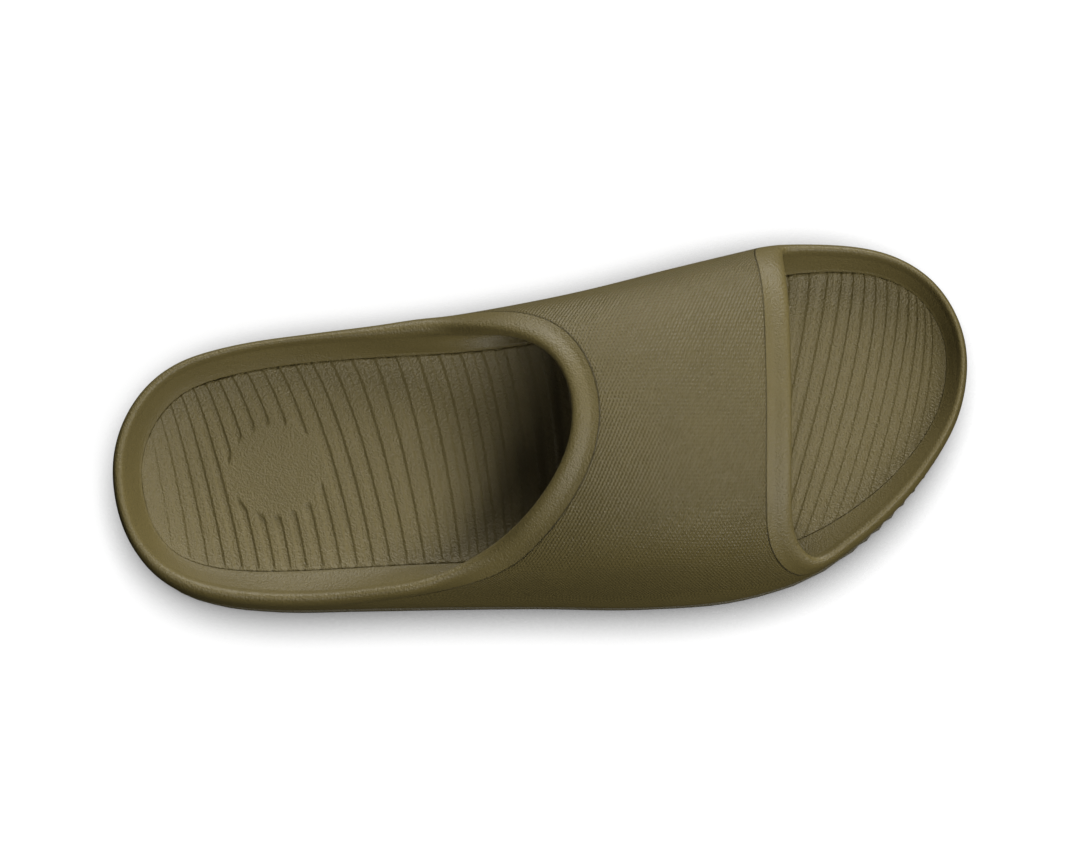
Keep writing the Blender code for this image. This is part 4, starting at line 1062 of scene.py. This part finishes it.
# From the groove number at a point to the drop there: each step's name, what it does and to which two
GROOVE_STEPS = (
    ("half", "MULTIPLY", "Share", 0.5),
    ("within", "FLOORED_MODULO", "rib", 1.0),
    ("aside", "SUBTRACT", "within", "half"),
    ("off", "ABSOLUTE", "aside", 0.0),
    ("apart", "DIVIDE", "off", "half"),
    ("across", "POWER", "apart", 2.0),
    ("along", "POWER", "run", 2.0),
    ("both", "ADD", "across", "along"),
    ("away", "SQRT", "both", 0.0),
    ("held", "MINIMUM", "away", 1.0),
    ("walled", "POWER", "held", "Edge"),
    ("bowl", "SUBTRACT", 1.0, "walled"),
    ("shaped", "MULTIPLY", "bowl", "deep"),
    ("drop", "MULTIPLY", "shaped", "Depth"),
    ("down", "MULTIPLY", "drop", -1.0),
)


def groove_nodes(finish):
    """Geometry nodes that cut the grooves between the ribs: flat, with steep walls and rounded ends."""
    tree = bpy.data.node_groups.new("grooves", "GeometryNodeTree")
    face = tree.interface
    face.new_socket("Geometry", in_out="INPUT", socket_type="NodeSocketGeometry")
    for name, value in (("Depth", 0.0007), ("Share", 0.52), ("End", 0.0012), ("Edge", 12.0)):
        face.new_socket(name, in_out="INPUT", socket_type="NodeSocketFloat").default_value = value
    face.new_socket("Geometry", in_out="OUTPUT", socket_type="NodeSocketGeometry")
    given = node(tree, "NodeGroupInput").outputs

    values = {name: given[name] for name in ("Depth", "Share", "End", "Edge")}
    for name in ("rib", "end", "deep"):
        named = node(tree, "GeometryNodeInputNamedAttribute", {"data_type": "FLOAT"}, Name=name)
        values[name] = named.outputs["Attribute"]
    run = node(tree, "ShaderNodeMapRange", Value=values["end"], From_Max=given["End"], To_Min=1.0, To_Max=0.0)
    values["run"] = run.outputs[0]
    for name, operation, one, other in GROOVE_STEPS:
        step = node(tree, "ShaderNodeMath", {"operation": operation},
                    i0=values.get(one, one), i1=values.get(other, other))
        values[name] = step.outputs[0]
    offset = node(tree, "ShaderNodeCombineXYZ", Z=values["down"]).outputs[0]
    moved = node(tree, "GeometryNodeSetPosition", Geometry=given["Geometry"], Offset=offset).outputs[0]
    real = node(tree, "GeometryNodeRealizeInstances", Geometry=moved).outputs[0]
    dressed = node(tree, "GeometryNodeSetMaterial", Geometry=real, Material=finish).outputs[0]
    tree.links.new(dressed, node(tree, "NodeGroupOutput").inputs[0])
    return tree


class SLIDE_OT_body(bpy.types.Operator):
    """Build the moulded tub and band"""

    bl_idname = "slide.body"
    bl_label = "Moulded body"

    def execute(self, context):
        obj = build_body(Shape(context.scene))
        # EVA foam moulded in an etched mould: matt, finely pebbled, with a crossing weave on the band
        obj.data.materials.append(foam_finish(
            "moulded_eva_foam", context.scene.slide_finishes.body, 0.5, weave=0.10))
        finished(obj)
        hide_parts("slide_body")
        return {"FINISHED"}


class SLIDE_OT_footbed(bpy.types.Operator):
    """Build the ribbed footbed"""

    bl_idname = "slide.footbed"
    bl_label = "Ribbed footbed"

    def execute(self, context):
        obj = build_bed(Shape(context.scene))
        # The same foam from a coarser mould: deeper pebbles that catch small glints on the ribs
        finish = foam_finish("footbed_eva_foam", context.scene.slide_finishes.bed, 0.5, 0.7, 0.27)
        obj.data.materials.append(finish)
        grooves = obj.modifiers.new("grooves", "NODES")
        grooves.node_group = groove_nodes(finish)
        sockets = {item.name: item.identifier for item in grooves.node_group.interface.items_tree}
        grooves[sockets["Depth"]] = context.scene.slide_bed_sizes.groove_depth
        grooves[sockets["Share"]] = context.scene.slide_bed_sizes.groove
        finished(obj)
        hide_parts("footbed")
        return {"FINISHED"}


class SLIDE_OT_tread(bpy.types.Operator):
    """Build the lugged and toothed tread"""

    bl_idname = "slide.tread"
    bl_label = "Toothed tread"

    def execute(self, context):
        obj = build_tread(Shape(context.scene))
        # Moulded rubber, duller than the foam, with the mould's grain; its darker tone is partly painted
        # shade, deepened to darken the bottom of the outer side
        obj.data.materials.append(foam_finish("tread_rubber", context.scene.slide_finishes.tread, 0.6))
        bevel = obj.modifiers.new("edges", "BEVEL")
        bevel.width = 0.00035
        bevel.segments = 2
        bevel.angle_limit = math.radians(40)
        obj.data.set_sharp_from_angle(angle=math.radians(50))
        finished(obj)
        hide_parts("outsole")
        return {"FINISHED"}


class SLIDE_OT_stage(bpy.types.Operator):
    """Set the floor, lights and camera"""

    bl_idname = "slide.stage"
    bl_label = "Studio stage"

    def execute(self, context):
        stage = context.scene.slide_stage
        tilt, roll = stage.tilt, stage.roll
        toeward = Vector((0, 1, 0))
        inward = Vector((-math.cos(tilt), 0, math.sin(tilt)))
        back = Vector((math.sin(tilt), 0, math.cos(tilt)))
        right = toeward * math.cos(roll) - inward * math.sin(roll)
        up = toeward * math.sin(roll) + inward * math.cos(roll)
        data = bpy.data.cameras.new("camera")
        data.sensor_width = 36.0
        data.lens = PIXELS_A_METRE * stage.distance * data.sensor_width / PICTURE_WIDTH
        camera = bpy.data.objects.new("camera", data)
        turned = Matrix((right, up, back)).transposed().to_4x4()
        camera.matrix_world = Matrix.Translation(AIM + back * stage.distance) @ turned
        context.scene.collection.objects.link(camera)
        context.scene.camera = camera

        mesh = bpy.data.meshes.new("floor")
        corners = [(x * FLOOR_REACH, y * FLOOR_REACH, 0) for x, y in ((-1, -1), (1, -1), (1, 1), (-1, 1))]
        mesh.from_pydata(corners, [], [(0, 1, 2, 3)])
        floor = bpy.data.objects.new("floor", mesh)
        # Lit white paper that also glows evenly; the glow is cut where the sandal stands close on its one
        # side, a painted contact shadow
        mat, tree, shader = new_material("white_paper")
        shader.inputs["Base Color"].default_value = (0.16, 0.16, 0.16, 1)
        shader.inputs["Roughness"].default_value = 0.9
        shader.inputs["Emission Color"].default_value = (1, 1, 1, 1)
        # Painted shadow: ambient occlusion, its normal tilted toward the inner side, dims the glow beside the
        # sandal's outer side
        near = node(
            tree, "ShaderNodeAmbientOcclusion", {"samples": 8}, Distance=0.018, Normal=(-0.86, -0.25, 0.44))
        glow_with_painted_shadow = node(
            tree, "ShaderNodeMapRange", Value=near.outputs["AO"], From_Min=0.42, From_Max=0.92, To_Max=0.92)
        tree.links.new(glow_with_painted_shadow.outputs[0], shader.inputs["Emission Strength"])
        mesh.materials.append(mat)
        context.scene.collection.objects.link(floor)
        floor.visible_diffuse = floor.visible_glossy = False

        context.scene.view_settings.view_transform = "Standard"
        world = bpy.data.worlds.new("studio")
        world.use_nodes = True
        tree = world.node_tree
        ray = node(tree, "ShaderNodeTexCoord").outputs["Generated"]
        up_share = node(tree, "ShaderNodeSeparateXYZ", i0=ray).outputs["Z"]
        glow = node(
            tree, "ShaderNodeMapRange", Value=up_share, From_Min=0.0, From_Max=0.6, To_Max=stage.ambient)
        tree.links.new(glow.outputs[0], tree.nodes["Background"].inputs["Strength"])
        tree.nodes["Background"].inputs["Color"].default_value = (1, 1, 1, 1)
        context.scene.world = world
        for name, where, size, power in LAMPS:
            light = bpy.data.lights.new(name, "AREA")
            light.shape = "RECTANGLE"
            light.size, light.size_y = size
            light.energy = getattr(stage, power)
            lamp = bpy.data.objects.new(name, light)
            lamp.location = where
            lamp.rotation_euler = (Vector(where) - AIM).to_track_quat("Z", "Y").to_euler()
            context.scene.collection.objects.link(lamp)
        return {"FINISHED"}


class SLIDE_PT_panel(bpy.types.Panel):
    """Sizes, finishes and steps of the sandal"""

    bl_idname = "SLIDE_PT_panel"
    bl_label = "Slide sandal"
    bl_space_type = "VIEW_3D"
    bl_region_type = "UI"
    bl_category = "Slide"

    def draw(self, context):
        for group in GROUPS:
            holder = getattr(context.scene, group)
            box = self.layout.box()
            for name in holder.bl_rna.properties.keys():
                if name not in {"rna_type", "name"}:
                    box.prop(holder, name)
        for operator in OPERATORS:
            self.layout.operator(operator.bl_idname)


GROUPS = {
    "slide_body_sizes": SlideBodySizes,
    "slide_bed_sizes": SlideBedSizes,
    "slide_tread_sizes": SlideTreadSizes,
    "slide_finishes": SlideFinishes,
    "slide_stage": SlideStage,
}
OPERATORS = (SLIDE_OT_stage, SLIDE_OT_body, SLIDE_OT_footbed, SLIDE_OT_tread)
CLASSES = (*GROUPS.values(), *OPERATORS, SLIDE_PT_panel)


def register():
    for cls in CLASSES:
        bpy.utils.register_class(cls)
    for name, cls in GROUPS.items():
        setattr(bpy.types.Scene, name, bpy.props.PointerProperty(type=cls))


def unregister():
    for name in GROUPS:
        delattr(bpy.types.Scene, name)
    for cls in reversed(CLASSES):
        bpy.utils.unregister_class(cls)


def main():
    register()
    bpy.ops.slide.stage()
    bpy.ops.slide.body()
    bpy.ops.slide.footbed()
    bpy.ops.slide.tread()


if __name__ == "__main__":
    main()
